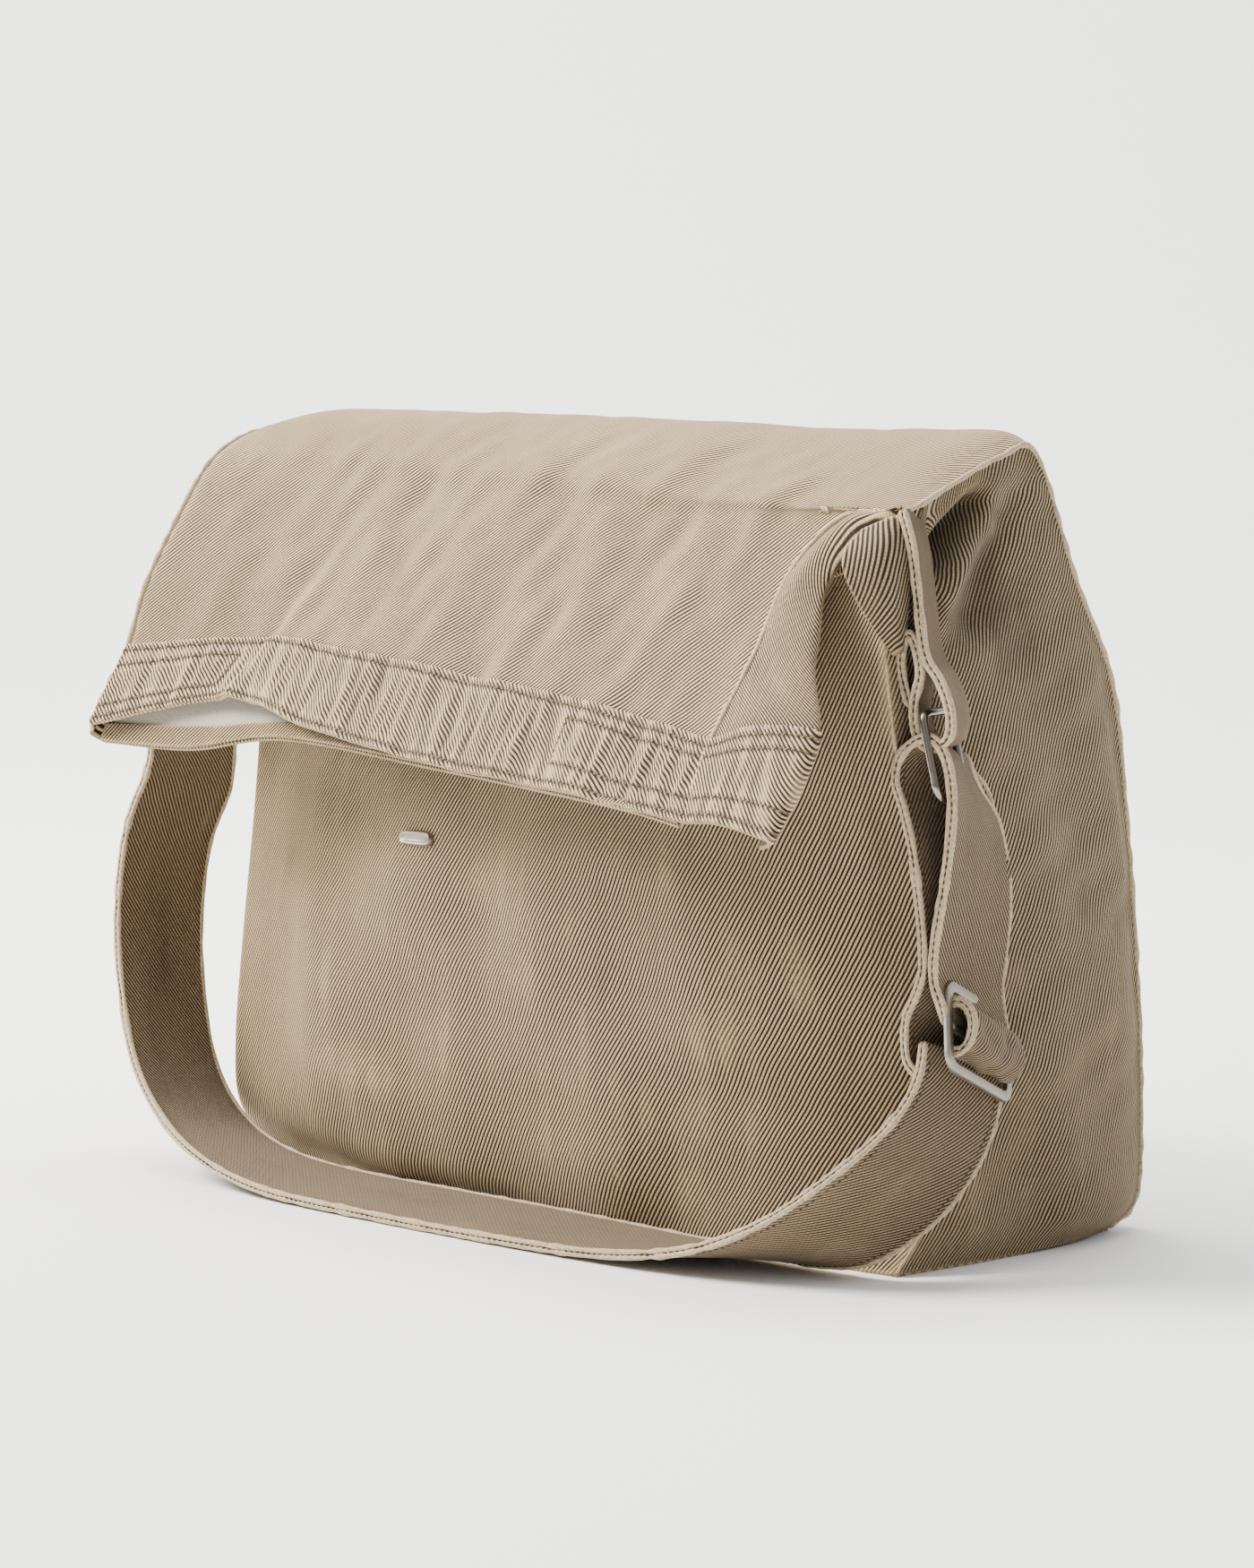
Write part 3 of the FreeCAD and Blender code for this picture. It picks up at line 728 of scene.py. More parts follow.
def outer_relief(u, w, points):
    """Waves in the washed cloth, its puffed side edges, and the pleat near the left end of the flap."""
    x, y, z = points.T
    on_flap = np.clip((w - FOLD_ROW) / 0.05, 0, 1)
    waves = 1.3 * MM * ripple(x, 0.45 * (y + z), 55 * MM, 4) + 0.5 * MM * ripple(x, 0.6 * (y + z), 24 * MM, 9)
    edge = np.clip(6 * np.minimum(u, 1 - u), 0, 1) * (1 - 0.8 * np.exp(-((w - 0.5) / 0.09) ** 2))
    inset = np.minimum(u, 1 - u) * 400 * MM
    rounding = 1 - np.exp(-(inset / (7 * MM)) ** 1.2)
    puff = np.interp(w, (0.10, 0.24, 0.36, 0.44, 0.56, 0.63), (0, 4, 10, 6, 4, 0)) * MM
    settle_in = np.exp(-(inset / (70 * MM)) ** 2)
    lean = x + 0.146 - 0.45 * (z - 0.228)
    step = 1 / (1 + np.exp(-lean / (1.6 * MM)))
    fade = np.clip((0.300 - z) / 0.060, 0, 1) * np.clip((0.0 - x) / 0.13, 0, 1)
    return waves * edge + on_flap * fade * step * 4.5 * MM + puff * rounding * settle_in


outer_place = raised(outer_shape(), outer_relief)


def build_outer():
    piece = cloth("outer_cloth", outer_place, by_width_and_run(outer_shape()), 150, 230, DENIM_FLAP)
    mark_wear_and_shade(piece, 5)
    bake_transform(piece)
    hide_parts("back_panel", "top_panel", "flap_outer_panel")


# ------------------------------------------------------------------ front panel and the flap's inner layer
FRONT_ROWS = [
    ((-190, -72, 3), (0, -88, 1), (200, -76, 1)),
    ((-199, -85, 24), (0, -97, 20), (204, -64, 20)),
    ((-200, -87, 55), (0, -100, 60), (205, -50, 60)),
    ((-200, -82, 105), (0, -101, 110), (204, -56, 110)),
    ((-200, -75, 160), (0, -97, 165), (202, -66, 165)),
    ((-201, -70, 205), (0, -88, 212), (200, -78, 212)),
    ((-204, -67, 250), (0, -78, 250), (199, -83, 250)),
    ((-210, -67, 288), (0, -68, 286), (198, -84, 280)),
]
INNER_ROWS = [
    ((-217, -86, 288), (-150, -78, 284), (-80, -78, 280), (0, -79, 276),
     (70, -80, 272), (125, -83, 268), (150, -86, 266)),
    ((-219, -112, 252), (-150, -97, 250), (-80, -98, 246), (0, -101, 242),
     (70, -104, 237), (120, -108, 232), (145, -110, 229)),
    ((-221, -133, 216), (-150, -117, 218), (-85, -117, 217), (0, -124, 207),
     (70, -129, 201), (120, -132, 196), (147, -135, 192)),
    ((-221, -144, 193), (-168, -137, 192), (-110, -130, 199), (0, -139, 193),
     (70, -142, 188), (120, -145, 184), (150, -147, 180)),
]
APEX_ROW = 7 / 11


def inner_shape():
    rows = panel_rows(FRONT_ROWS, INNER_ROWS)
    return through_rails([[row[index] for row in rows] for index in range(7)])


def front_relief(u, w, points):
    x, y, z = points.T
    edge = np.clip(5 * np.minimum(u, 1 - u), 0, 1) * np.clip((APEX_ROW - w) / 0.1, 0, 1)
    return edge * (2.2 * MM * ripple(x, z, 110 * MM, 12) + 0.8 * MM * ripple(x, z, 45 * MM, 13))


front_place = raised(inner_shape(), front_relief)


def build_front():
    piece = cloth("front_cloth", front_place, by_width_and_run(inner_shape()), 150, 190, DENIM_FRONT)
    mark_wear_and_shade(piece, 5)
    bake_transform(piece)
    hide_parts("front_panel", "flap_inner_panel")


# ------------------------------------------------------------------ gussets and bottom
SEAM_C = [(200, -76, 1), (204, -64, 20), (205, -50, 60), (204, -56, 110), (202, -66, 165), (200, -78, 212),
          (199, -83, 250), (198, -84, 280), (199, -72, 303)]
BASE_SIDE = [(200, -76, 1), (205, -20, 1), (206, 25, 1), (197, 60, 1)]


def tuck(points, start, end, depth, hill, reach):
    """A fold along a line in the side: the cloth drops behind the line, then rises in a soft hill."""
    spots = points[:, 1:] / MM
    a, b = np.array(start, float), np.array(end, float)
    length = np.linalg.norm(b - a)
    run = (b - a) / length
    along = (spots - a) @ run
    off = (spots - a) @ np.array((run[1], -run[0]))
    mask = np.exp(-(np.clip(-along, 0, None) / 7) ** 2) * np.exp(-(np.clip(along - length, 0, None) / 7) ** 2)
    drop = np.exp(-((off - 0.32 * reach) / (0.36 * reach)) ** 2)
    rise = np.exp(-((off - 1.35 * reach) / (0.55 * reach)) ** 2)
    return mask * (hill * rise - depth * drop) * MM


def gusset_relief(u, w, points):
    """Hollow under the top seam, a crease down from the peak, and a soft lobe beside the flap."""
    y, z = points[:, 1], points[:, 2]
    belly = 7 * MM * np.sin(math.pi * np.clip(u, 0, 1)) * np.sin(math.pi * np.clip(w * 1.25, 0, 1))
    hollow = tuck(points, (-66, 283), (-34, 309), 24, 5, 13)
    crease = 3 * MM * near_line(points, [(-10, 318), (-34, 302), (-48, 280), (-56, 258)], 7)
    dip = -5 * MM * near_line(points, [(-6, 306), (-22, 288), (-34, 262)], 9)
    edge = np.clip(9 * np.minimum(np.minimum(u, 1 - u), np.minimum(w, 1 - w)), 0, 1)
    waves = 1.5 * MM * ripple(y, z, 70 * MM, 21) + 0.6 * MM * ripple(y, z, 30 * MM, 22)
    return edge * (belly + hollow + crease + dip + waves)


PEAK_ROW = 7 / 16


def side_of_outer(side, start, end):
    """A stretch of the wide panel's side edge, as a function of t: 0 is the right side, 1 the left."""
    return lambda t: outer_place(np.full(len(t), float(side)), start + t * (end - start))


right_back = side_of_outer(0, 0, PEAK_ROW)
right_top = side_of_outer(0, FOLD_ROW, PEAK_ROW)
left_back = side_of_outer(1, 0, PEAK_ROW)
left_top = side_of_outer(1, PEAK_ROW, FOLD_ROW)
gusset_place = raised(patch(rail(SEAM_C), right_back, rail(BASE_SIDE), right_top), gusset_relief)

LEFT_FRONT = [(-190, -72, 3), (-199, -85, 24), (-200, -87, 55), (-200, -82, 105), (-200, -75, 160),
              (-201, -70, 205), (-204, -67, 250), (-221, -68, 329)]
LEFT_BASE = [(-197, 60, 1), (-201, 20, 1), (-198, -30, 1), (-190, -72, 3)]


def left_relief(u, w, points):
    """A plain soft belly with waves."""
    edge = np.clip(6 * np.minimum(np.minimum(u, 1 - u), np.minimum(w, 1 - w)), 0, 1)
    belly = np.sin(math.pi * np.clip(u, 0, 1)) * np.sin(math.pi * np.clip(w * 1.2, 0, 1))
    return edge * (6 * MM * belly + 1.6 * MM * ripple(points[:, 1], points[:, 2], 80 * MM, 31))


gusset_left_place = raised(patch(left_back, rail(LEFT_FRONT), rail(LEFT_BASE), left_top), left_relief)


LOBE_RAILS = (
    [(186, -82, 295), (188, -96, 284), (195, -95, 268), (200.5, -80, 247)],
    [(196, -77, 300), (201, -87, 286), (204, -87, 268), (202, -79, 248)],
    [(200, -73, 302), (203, -75, 285), (203, -75, 268), (202, -77, 249)])


def build_lobe():
    """The soft lobe of side cloth that hangs in front of the seam below the flap's corner."""
    lobe_place = through_rails(LOBE_RAILS)
    piece = cloth("gusset_lobe_right", lobe_place, by_walk(lobe_place, 1), 30, 50, DENIM_SIDE_SHADED)
    mark_wear_and_shade(piece, 5)
    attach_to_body(piece, "bag")


def shade_under_top_seam(co):
    """Painted shade: darker cloth in the tuck below the top seam, where shade falls."""
    off = ((co[:, 1] + 0.030) / 0.036) ** 2 + ((co[:, 2] - 0.272) / 0.042) ** 2
    return -0.9 * np.exp(-off)


def build_gussets():
    right = cloth("gusset_cloth_right", gusset_place, by_walk(gusset_place, 1), 90, 170, DENIM_SIDE_SHADED)
    # painted shade in the tuck under the top seam is added to the stored wear
    mark_wear_and_shade(right, 5, shade_under_top_seam)
    left = cloth("gusset_cloth_left", gusset_left_place, by_walk(gusset_left_place, 1), 90, 170, DENIM_SIDE_SHADED)
    mark_wear_and_shade(left, 5)
    for piece, node in ((right, "gusset_right"), (left, "gusset_left")):
        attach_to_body(piece, "bag")
        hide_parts(node)


BOTTOM_ROWS = [
    [(-190, -72, 3), (-198, -10, 1), (-197, 60, 1)],
    [(-100, -84.5, 1.5), (-100, -8, 1), (-100, 60, 1)],
    [(0, -88, 1), (0, -8, 1), (0, 60, 1)],
    [(100, -86.5, 1), (100, -8, 1), (100, 60, 1)],
    [(200, -76, 1), (205, -8, 1), (197, 60, 1)],
]
bottom_place = through_rails([[row[index] for row in BOTTOM_ROWS] for index in (2, 1, 0)])


def build_bottom():
    flat = lambda u, w, points: points[:, :2]
    piece = cloth("bottom_cloth", bottom_place, flat, 40, 110, DENIM_SIDE_SHADED, 0.9 * MM)
    mark_wear_and_shade(piece, 5)
    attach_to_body(piece, "bag")
    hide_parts("bottom_panel")


# ------------------------------------------------------------------ the flap's folded sides
SEAM_F = [(199, -72, 303), (171, -74, 301), (153, -90, 277), (153, -108, 248), (150, -130, 214),
          (152, -140, 199), (155, -150, 183)]
FOLD_RIGHT = [(199, -73, 302), (181, -84, 288), (175, -93, 273), (184, -109, 248), (203, -128, 220),
              (204, -140, 200), (201, -152, 179)]
UNDER_RIGHT = [(198, -72, 300), (176, -78, 284), (168, -84, 268), (174, -98, 242), (186, -116, 213),
               (188, -128, 194), (188, -141, 174)]


def side_rails(front, edge, under, bulge):
    """Rails from the seam, over the folded edge and back under the flap."""
    front, edge, under = (np.array(line, float) for line in (front, edge, under))
    crown = (front + edge) / 2 + bulge
    turn = (edge + under) / 2 + (edge - (front + under) / 2) * 0.12
    return [front, crown, edge, turn, under]


def flap_side(name, rails_here, node):
    """One folded side of the flap; gives back its surface for the band that lies on it."""
    surface = through_rails(rails_here)

    def relief(u, w, points):
        edge = np.clip(8 * np.minimum(w, 1.05 - w), 0, 1) * np.clip(6 * np.minimum(u, 1 - u), 0, 1)
        return edge * (1.2 * MM * ripple(points[:, 0], points[:, 2], 40 * MM, 41))
    place = raised(surface, relief)
    piece = cloth(name, place, by_walk(place, 0), 60, 120, DENIM_FOLD)
    mark_wear_and_shade(piece, 5)
    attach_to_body(piece, "flap")
    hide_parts(node)
    return place


SEAM_LEFT = [row[0] for row in FLAP_ROWS]
EDGE_LEFT = [(-224, -72, 322), (-227, -86, 305), (-228, -101, 284), (-228, -119, 254), (-227, -130, 228),
             (-227, -141, 211), (-226, -149, 197)]
UNDER_LEFT = [(-216, -68, 305), (-217, -78, 292), (-218, -93, 270), (-219, -110, 243), (-220, -126, 220),
              (-221, -136, 205), (-221, -144, 193)]


def build_flap_sides():
    right = side_rails(SEAM_F, FOLD_RIGHT, UNDER_RIGHT, (0, -2, 3))[::-1]
    left = side_rails(SEAM_LEFT, EDGE_LEFT, UNDER_LEFT, (0, 0, 0))
    right_place = flap_side("flap_side_right", right, "flap_gusset_right")
    flap_side("flap_side_left", left, "flap_gusset_left")
    return right_place


# ------------------------------------------------------------------ hem bands with their stitching
def band_part(place, low, high, side_one, side_two):
    """The part of a surface between two w values and two u values, as its own surface."""
    def inner(u, w):
        return place(side_one + (side_two - side_one) * u, low + (high - low) * w)
    return inner


def thread_groove_shade(place, tracks):
    """Painted shade: darker lines in the grooves under the stitches, with paler puckers beside them, as paint
    for a piece of cloth.
    """
    spots = np.vstack([on_surface(place, track, 1.0 * MM)[0] for track in tracks])
    tree = KDTree(len(spots))
    for index, spot in enumerate(spots):
        tree.insert(spot, index)
    tree.balance()

    def paint(co):
        away = np.array([tree.find(point)[2] for point in co]) / MM
        pucker = 0.35 * ripple(co[:, 0], co[:, 2] * 0.25, 8 * MM, 51)
        # painted shade in the stitch grooves, paler puckers beside them
        return pucker - 1.25 * np.exp(-(away / 1.0) ** 2) + 0.30 * np.exp(-((away - 2.6) / 1.3) ** 2)
    return paint


def puckered(place, amount):
    """Short ripples across a stitched band."""
    def height(u, w, points):
        inside = np.sin(math.pi * np.clip(w, 0, 1)) ** 0.5
        return amount * ripple(points[:, 0], points[:, 2] * 0.2, 8 * MM, 51) * inside
    return raised(place, height)


BAND_TRACKS = (
    [(0.0, 0.07), (1.0, 0.07)], [(0.0, 0.93), (1.0, 0.93)],
    [(1.0, 0.24), (0.845, 0.24), (0.855, 0.76), (1.0, 0.76)],
    [(0.0, 0.20), (0.34, 0.20), (0.34, 0.74), (0.0, 0.74)])
SIDE_TRACKS = (
    [(0.0, 0.07), (0.98, 0.07)], [(0.0, 0.93), (0.98, 0.93)],
    [(0.0, 0.20), (0.98, 0.20)], [(0.0, 0.74), (0.98, 0.74)])


def build_bands(right_side):
    main = puckered(raised(band_part(outer_place, BAND_START, 1.0, 0.0, 1.0), 1.3 * MM), 0.45 * MM)
    side = raised(band_part(right_side, 4 / 6, 1.0, 0.42, 1.0), 1.3 * MM)
    plans = (("hem_band", main, (300, 38), BAND_TRACKS), ("hem_band_side", side, (50, 38), SIDE_TRACKS))
    runs = []
    for name, place, (across, along), tracks in plans:
        piece = cloth(name, place, by_width_and_drop, across, along, DENIM_FLAP, rim=0.5 * MM)
        # painted shade along the stitch grooves is added to the stored wear
        mark_wear_and_shade(piece, 3, thread_groove_shade(place, tracks))
        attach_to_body(piece, "flap")
        if name == "hem_band":
            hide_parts("hem_band_outer")
        runs += [on_surface(place, track, 3.0 * MM, 0.1 * MM) for track in tracks]
    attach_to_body(stitches("hem_stitches", runs, THREAD, 2.4 * MM, 0.5 * MM), "flap")


# ------------------------------------------------------------------ mouth: lining and the inner hem
def build_mouth():
    under = raised(band_part(outer_place, FOLD_ROW + 0.08, 0.985, 0.03, 0.98), -2.2 * MM)
    piece = cloth("lining_outer_side", under, by_width_and_drop, 100, 70, LINING, FLAP_LINING_GAUGE)
    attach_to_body(piece, "flap")
    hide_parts("flap_lining_outer")
    over = raised(band_part(front_place, APEX_ROW + 0.07, 0.985, 0.01, 0.98), -2.2 * MM)
    piece = cloth("lining_inner_side", over, by_width_and_drop, 100, 70, LINING, FLAP_LINING_GAUGE)
    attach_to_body(piece, "flap")
    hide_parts("flap_lining_inner")
    hem = raised(band_part(front_place, 0.968, 1.0, 0.0, 1.0), -3.0 * MM)
    piece = cloth("inner_hem", hem, by_width_and_drop, 150, 8, DENIM_FRONT, 1.0 * MM)
    mark_wear_and_shade(piece, 5)
    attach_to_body(piece, "flap")
    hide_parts("hem_band_inner")


# ------------------------------------------------------------------ raised cream seams
def edge_points(place, side, low, high, lift, count=160):
    """Points along the side edge of a surface, raised a little, in metres."""
    w = np.linspace(low, high, count)
    return raised(place, lift)(np.full(count, float(side)), w)


SEAM_RADIUS = 1.15 * MM


def build_seams():
    for side, label in ((0, "right"), (1, "left")):
        line = edge_points(outer_place, side, 0.0, 1.0, 0.0)
        piece = tube("seam_outer_" + label, line, SEAM_RADIUS, CREAM_SEAM, 8, 520, uneven=0.2)
        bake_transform(piece)
    line = edge_points(front_place, 1, 0.0, 0.53, 0.1 * MM)
    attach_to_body(tube("seam_front_right", line, 0.6 * MM, CREAM_SEAM, 8, 260, uneven=0.2), "bag")


# ------------------------------------------------------------------ linings
def build_linings():
    """Pale cotton behind every panel, seen when the flap is lifted."""
    back = raised(band_part(outer_place, 0.0, FOLD_ROW - 0.03, 0.005, 0.995), -2.6 * MM)
    front = raised(band_part(front_place, 0.0, APEX_ROW - 0.03, 0.005, 0.995), -2.6 * MM)
    right = raised(band_part(gusset_place, 0.0, 0.97, 0.01, 0.99), -2.6 * MM)
    left = raised(band_part(gusset_left_place, 0.0, 0.97, 0.01, 0.99), -2.6 * MM)
    low = raised(bottom_place, -2.2 * MM)
    plans = (("lining_back_cloth", back, (90, 90), (0, 2), "lining_back"),
             ("lining_front_cloth", front, (90, 70), (0, 2), "lining_front"),
             ("lining_right_cloth", right, (50, 80), (1, 2), "lining_right"),
             ("lining_left_cloth", left, (50, 80), (1, 2), "lining_left"),
             ("lining_bottom_cloth", low, (30, 80), (0, 1), "lining_bottom"))
    for name, place, (across, along), axes, node in plans:
        piece = cloth(name, place, lambda u, w, points: points[:, axes], across, along, LINING, LINING_GAUGE)
        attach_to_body(piece, "bag")
        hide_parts(node)


# ------------------------------------------------------------------ strap, tabs and rings
TILT = math.radians(14)
STRAP_WIDTH = 50 * MM


def tilted(points, angle=TILT, centre=(0, -72, 304)):
    """Points turned about the fold line, as the left tab and ring hang."""
    cosine, sine = math.cos(angle), math.sin(angle)
    turned = []
    for x, y, z in points:
        dy, dz = y - centre[1], z - centre[2]
        turned.append((x, centre[1] + dy * cosine + dz * sine, centre[2] - dy * sine + dz * cosine))
    return turned


def ribbon(name, near, far, gauge, steps):
    """Webbing between its two edge lines, given in millimetres; it is stitched by the caller."""
    near_edge, far_edge = rail(near, True), rail(far, True)

    def surface(u, w):
        share = u[:, None]
        return near_edge(w) * (1 - share) + far_edge(w) * share

    def flat(u, w, points):
        return np.stack([u * STRAP_WIDTH, middle_run(surface, w)], axis=1)
    place = raised(surface, gauge / 2)
    piece = cloth(name, place, flat, 24, steps, DENIM_STRAP, gauge, rim=0.7 * MM)
    return piece, place, surface


RUN_ROUTE = [
    (-246, -100, -52, 178, 166), (-250, -110, -62, 150, 138), (-246, -119, -71, 114, 102),
    (-234, -127, -79, 80, 68), (-214, -135, -87, 47, 37), (-186, -141, -92, 24, 17), (-150, -146, -95, 10, 7),
    (-104, -149, -96, 3, 4), (-40, -149, -96, 1.8, 4), (30, -147, -95, 1.8, 4), (96, -143, -93, 3.2, 3),
    (142, -138, -91, 10, 2.5), (176, -130, -90, 24, 3), (200, -117, -87, 43, 8), (210, -100, -68, 58, 20),
    (214, -88, -50, 70, 36), (215, -80, -36, 82, 56), (214, -76, -28, 95, 80),
]
LOOP_ROUTE = [
    (213, -77, 82, 214, -30, 66), (207, -77, 86, 211, -30, 70), (205, -77, 93, 209, -29, 80),
    (205.5, -77, 104, 208, -28, 92), (210, -77, 113, 208, -28, 103), (213.5, -77, 122, 208, -27, 112),
    (214, -77, 133, 208, -27, 124), (212, -77, 150, 208, -27, 142), (210, -79, 172, 208, -28, 166),
    (205, -79, 188, 208, -30, 184), (202, -80, 198, 207, -34, 194), (204, -79, 208, 206, -42, 201),
    (211, -78, 214, 208, -47, 205), (219, -77, 215, 211, -49, 205), (225, -76, 207, 212, -47, 199),
    (228, -76, 192, 209.5, -38, 190), (227, -76, 176, 208.5, -27, 178), (224, -76, 157, 208.5, -21, 158),
    (221, -76, 143, 208.5, -20, 143), (219, -76, 131, 208.5, -22, 126), (219, -76, 120, 209, -25, 112),
    (222, -75, 111, 211, -26, 102), (224, -74, 103, 214, -27, 94),
]
TAB_ROUTE = [(201, 304), (206, 290), (209, 273), (212, 254), (215, 245), (221, 238), (226, 228), (227, 219),
             (224, 214), (218, 211.5), (212, 213), (208.5, 219), (208, 229), (211, 240), (208.5, 251),
             (204.5, 255.5), (201.5, 250), (201, 242), (203.5, 233), (206, 227)]
END_WIDTHS = (28, 30, 38, 46, 50)
END_ROUTE = [(-211, 199), (-214, 207), (-222, 212), (-234, 208), (-241, 194)]


def edge_stitches(name, place, attach, inset):
    """A row of dark stitches inside each edge of the webbing."""
    runs = []
    for side in (inset, 1 - inset):
        runs.append(on_surface(place, [(side, 0.01), (side, 0.99)], 3.2 * MM, 0.05 * MM))
    attach(stitches(name, runs, DARK_THREAD, 2.2 * MM, 0.45 * MM))


def folded_edge(name, surface, side, attach, length):
    """The two pale folded edges of doubled webbing, with the dark stitches that close them."""
    count = max(24, int(length / (2.2 * MM)))
    w = np.linspace(0, 1, count)
    at_side = np.full(count, float(side))
    line = surface(at_side, w)
    out = line - surface(np.full(count, 0.5), w)
    out /= np.linalg.norm(out, axis=1, keepdims=True)
    normal = normals_of(surface, at_side, w)
    for label, shift in (("a", 1.0), ("b", -1.0)):
        bead = line + normal * shift * 1.05 * MM
        attach(tube(name + label, bead, SEAM_RADIUS, CREAM_SEAM, 8, count * 2, uneven=0.15))
    reach = distance_along(line)
    wanted = np.arange(2 * MM, reach[-1] - 1 * MM, 3.1 * MM)
    pick = lambda data: np.stack([np.interp(wanted, reach, data[:, axis]) for axis in range(3)], axis=1)
    ahead = pick(np.gradient(line, axis=0))
    run = (pick(line + out * 0.75 * MM), ahead, pick(out))
    attach(stitches(name + "_thread", [run], DARK_THREAD, 2.3 * MM, 0.5 * MM))


def webbing_piece(name, near, far, steps, attach, nodes, gauge=3 * MM, beads=(0, 1), inset=0.065, length=0.3):
    """One stretch of webbing with its folded edges and stitches, and its length along the middle."""
    piece, place, surface = ribbon(name, near, far, gauge, steps)
    mark_wear_and_shade(piece, 5)
    attach(piece)
    for side in beads:
        folded_edge(name + ("_near" if side == 0 else "_far"), surface, side, attach, length)
    edge_stitches(name + "_stitches", place, attach, inset)
    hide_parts(*nodes)
    return piece, middle_run(surface, 1.0)


def build_strap_run():
    """The long run: round the left ring, along the front's foot and up behind the slider."""
    near = tilted([(x, -76, z) for x, z in END_ROUTE])
    near += [(x, near_y, near_z + 1) for x, near_y, far_y, near_z, far_z in RUN_ROUTE]
    far = tilted([(x, -76 + wide, z) for (x, z), wide in zip(END_ROUTE, END_WIDTHS)])
    far += [(x, far_y, far_z + 1) for x, near_y, far_y, near_z, far_z in RUN_ROUTE]
    follow = lambda piece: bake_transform(piece)
    piece, run = webbing_piece("strap_run_cloth", near, far, 260, follow, ["strap_run"], length=0.75)


def build_strap_loop():
    """The two legs above the slider and the loop over the right ring."""
    near = [row[:3] for row in LOOP_ROUTE]
    far = [row[3:] for row in LOOP_ROUTE]
    shorten = lambda piece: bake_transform(piece)
    nodes = ["strap_ring_loop", "strap_inner_leg", "strap_outer_leg"]
    piece, run = webbing_piece("strap_ring_loop_cloth", near, far, 150, shorten, nodes, length=0.28)


def build_tabs():
    """The narrow tabs that hold the rings; the left one is the right one turned about the fold line."""
    look = {"gauge": 2 * MM, "inset": 0.12, "length": 0.16}
    shifts = np.interp(np.arange(len(TAB_ROUTE)), (0, 3, 6), (3, 5, 8))
    near = [(x, -76, z) for x, z in TAB_ROUTE]
    far = [(x - shift, -67 + 1.3 * shift, z) for (x, z), shift in zip(TAB_ROUTE, shifts)]
    hang = lambda piece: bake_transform(piece)
    webbing_piece("tab_right_cloth", near, far, 110, hang, ["tab_right"], beads=(0,), **look)
    left_near, left_far = (tilted([(-x, y, z) for x, y, z in line]) for line in (far, near))
    with_strap = lambda piece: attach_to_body(piece, "strap")
    webbing_piece("tab_left_cloth", left_near, left_far, 110, with_strap, ["tab_left"], beads=(1,), **look)


# ------------------------------------------------------------------ slider with the strap rolled on its bar
SLIDER_CENTRE = np.array((219.5, -50, 93.5)) * MM
SLIDER_LONG = np.array((-0.208, 0.901, -0.381))
SLIDER_TALL = np.array((-0.309, 0.309, 0.899))
SLIDER_OUT = np.cross(SLIDER_LONG, SLIDER_TALL)


def slider_spot(long, tall, out):
    """Points given along the slider's own directions, in metres."""
    across = np.outer(long, SLIDER_LONG) + np.outer(tall, SLIDER_TALL)
    return SLIDER_CENTRE + across + np.outer(out, SLIDER_OUT)


def build_slider_metal():
    """The flat oblong frame and its middle bar."""
    half_long, half_tall, corner, wide, thick = 26.6 * MM, 16.6 * MM, 5.5 * MM, 2.3 * MM, 1.35 * MM
    outline = []
    for index, (side, rise) in enumerate(((1, 1), (-1, 1), (-1, -1), (1, -1))):
        for angle in np.linspace(index * 90, index * 90 + 90, 9):
            turn = math.radians(angle)
            outline.append((side * (half_long - corner) + corner * math.cos(turn),
                            rise * (half_tall - corner) + corner * math.sin(turn)))
    outline = np.array(outline + outline[:1])
    reach = distance_along(outline)

    def frame_place(u, w):
        spot = np.stack([np.interp(w * reach[-1], reach, outline[:, axis]) for axis in range(2)], axis=1)
        inner = np.array((half_long - corner, half_tall - corner))
        away = spot - np.clip(spot, -inner, inner)
        away /= np.maximum(np.linalg.norm(away, axis=1, keepdims=True), 1e-9)
        angle = u * math.tau
        side = np.sign(np.cos(angle)) * np.abs(np.cos(angle)) ** 0.45 * wide
        out = np.sign(np.sin(angle)) * np.abs(np.sin(angle)) ** 0.45 * thick
        moved = spot + away * side[:, None]
        return slider_spot(moved[:, 0], moved[:, 1], out)
    frame_piece = shell("slider_frame_metal", frame_place, 24, 160, SATIN)
    bar_line = slider_spot([-26 * MM, 0, 26 * MM], [0, 0, 0], [0, 0, 0])
    bar = tube("slider_bar_metal", bar_line, 1.8 * MM, SATIN, 14, 40)
    for piece, node in ((frame_piece, "slider_frame"), (bar, "slider_bar")):
        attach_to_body(piece, "slider")
        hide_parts(node)


def build_slider_roll():
    """The strap's end, rolled over the bar."""
    def roll(u, w):
        angle = math.radians(-128) + w * math.radians(262)
        swell = 1 + 0.10 * np.sin(math.pi * u)
        long = (-22.5 + 48 * u) * MM
        tall = (10.3 * np.sin(angle)) * MM * swell
        out = (1.5 + 7.2 * np.cos(angle)) * MM * swell
        return slider_spot(long, tall, out)
    with_slider = lambda piece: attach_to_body(piece, "slider")
    flat = lambda u, w, points: np.stack([u * STRAP_WIDTH, w * 40 * MM], axis=1)
    creases = lambda u, w, points: 0.5 * MM * ripple(u * 0.05, w * 0.05, 12 * MM, 5)
    surface = raised(roll, creases)
    piece = cloth("strap_roll_cloth", surface, flat, 40, 50, DENIM_STRAP, 2.4 * MM, rim=0.6 * MM)
    mark_wear_and_shade(piece, 5)
    with_slider(piece)
    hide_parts("strap_roll", "strap_end_loop")
    folded_edge("strap_roll_edge", roll, 0, with_slider, 0.05)


# ------------------------------------------------------------------ pill stud
STUD_X = -0.0585
STUD_Z = 0.158
STUD_RADIUS = 3.25
STUD_STRETCH = 7.3


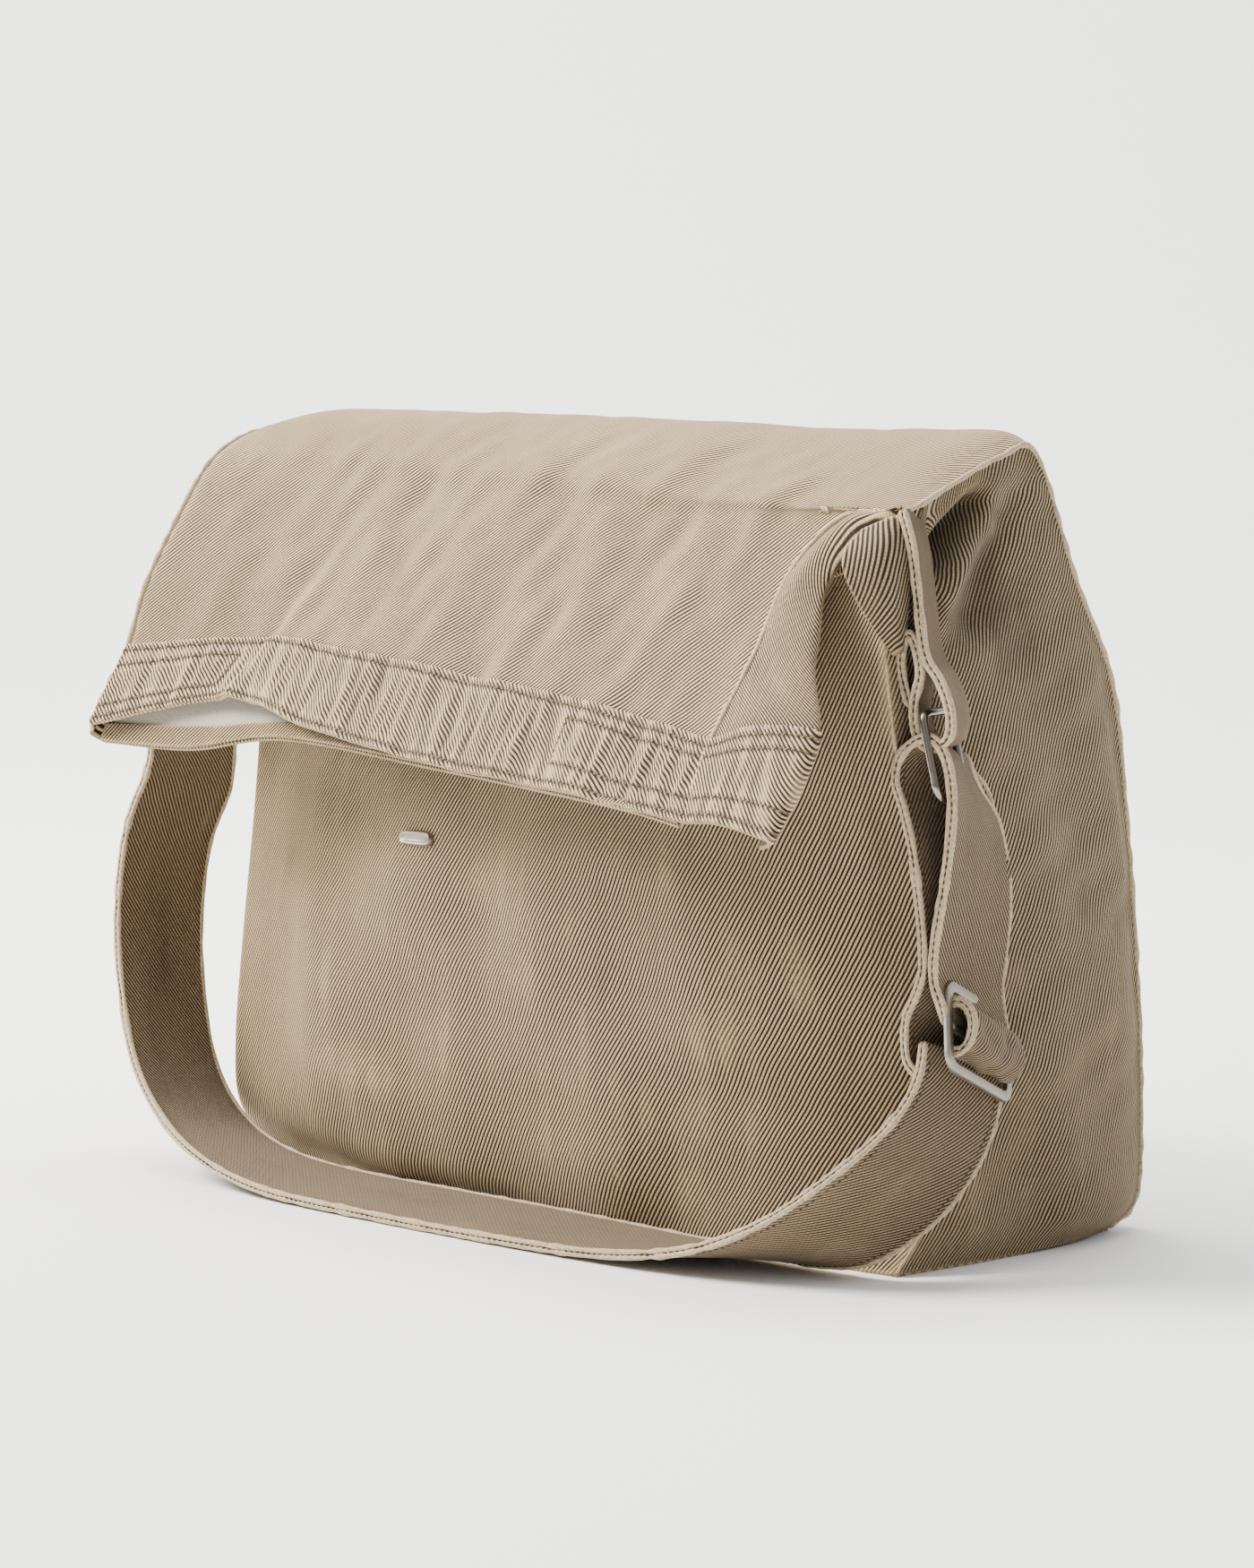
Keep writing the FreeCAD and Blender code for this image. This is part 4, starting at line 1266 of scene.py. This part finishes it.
def build_stud():
    """A small oblong stud pressed on the front, with a low rim and a shallow dish."""
    u, w = (grid.ravel() for grid in np.meshgrid(np.linspace(0.25, 0.5, 60), np.linspace(0.2, 0.5, 60)))
    points = front_place(u, w)
    best = np.argmin((points[:, 0] - STUD_X) ** 2 + (points[:, 2] - STUD_Z) ** 2)
    centre = points[best]
    normal = normals_of(front_place, u[best:best + 1], w[best:best + 1])[0]
    level = np.array((1.0, 0.0, 0.0)) - normal * normal[0]
    level /= np.linalg.norm(level)
    lift = np.cross(normal, level)
    profile = np.array([(0, -0.4), (0.05, 1.0), (0.35, 1.9), (0.8, 2.25),
                        (1.3, 2.1), (1.75, 1.55), (2.6, 1.4), (3.249, 1.4)])

    def place(u, w):
        angle = u * math.tau
        spot = np.linspace(0, 1, len(profile))
        inset = np.interp(w, spot, profile[:, 0])
        height = np.interp(w, spot, profile[:, 1])
        radius = STUD_RADIUS - inset
        stretch = STUD_STRETCH * np.clip(radius / STUD_RADIUS * 1.6, 0, 1)
        x = radius * np.cos(angle) + stretch * np.tanh(4 * np.cos(angle))
        y = radius * np.sin(angle)
        return centre + (np.outer(x, level) + np.outer(y, lift) + np.outer(height, normal)) * MM
    cap = shell("stud_cap_metal", place, 64, 42, SATIN)
    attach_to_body(cap, "bag")
    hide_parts("stud_cap")


def d_ring(side):
    """Points of a D ring in metres: a straight bar on top and a rounded bow below, a little skew."""
    x, y, z = 214.5, -67.5, 225
    half, deep, low = 11, 35, 9
    bar_end = half - 5
    outline = [(-bar_end, 0), (0, 0), (bar_end, 0), (half - 1.2, -1.2), (half, -5)]
    outline += [(half, -12), (half - 0.4, -(deep - low))]
    for angle in (20, 45, 70, 90):
        turn = math.radians(angle)
        outline.append((half - low + low * math.cos(turn), -(deep - low) - low * math.sin(turn)))
    outline.append((0, -deep))
    mirror = [(-a, b) for a, b in outline[::-1] if a > 0.1 and (a, b) != (bar_end, 0)]
    points = [(x - 0.25 * b - 0.22 * (a + half), y + a, z + b) for a, b in outline + mirror]
    points.append(points[0])
    if side < 0:
        points = tilted([(-px, py, pz) for px, py, pz in points])
    return np.array(points) * MM


def build_rings():
    for side, label in ((1, "ring_right"), (-1, "ring_left")):
        ring = tube(label + "_wire", d_ring(side), 1.7 * MM, POLISHED, 20, 160, closed=True)
        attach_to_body(ring, label)
        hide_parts(label)


# ------------------------------------------------------------------ put everything together
build_outer()
build_front()
build_gussets()
build_lobe()
build_bottom()
build_bands(build_flap_sides())
build_mouth()
build_linings()
build_seams()
build_strap_run()
build_strap_loop()
build_tabs()
build_rings()
build_slider_metal()
build_slider_roll()
build_stud()

for name in ("stud_post", "stud_washer"):
    NODES[name].data.materials.clear()
    NODES[name].data.materials.append(SATIN)
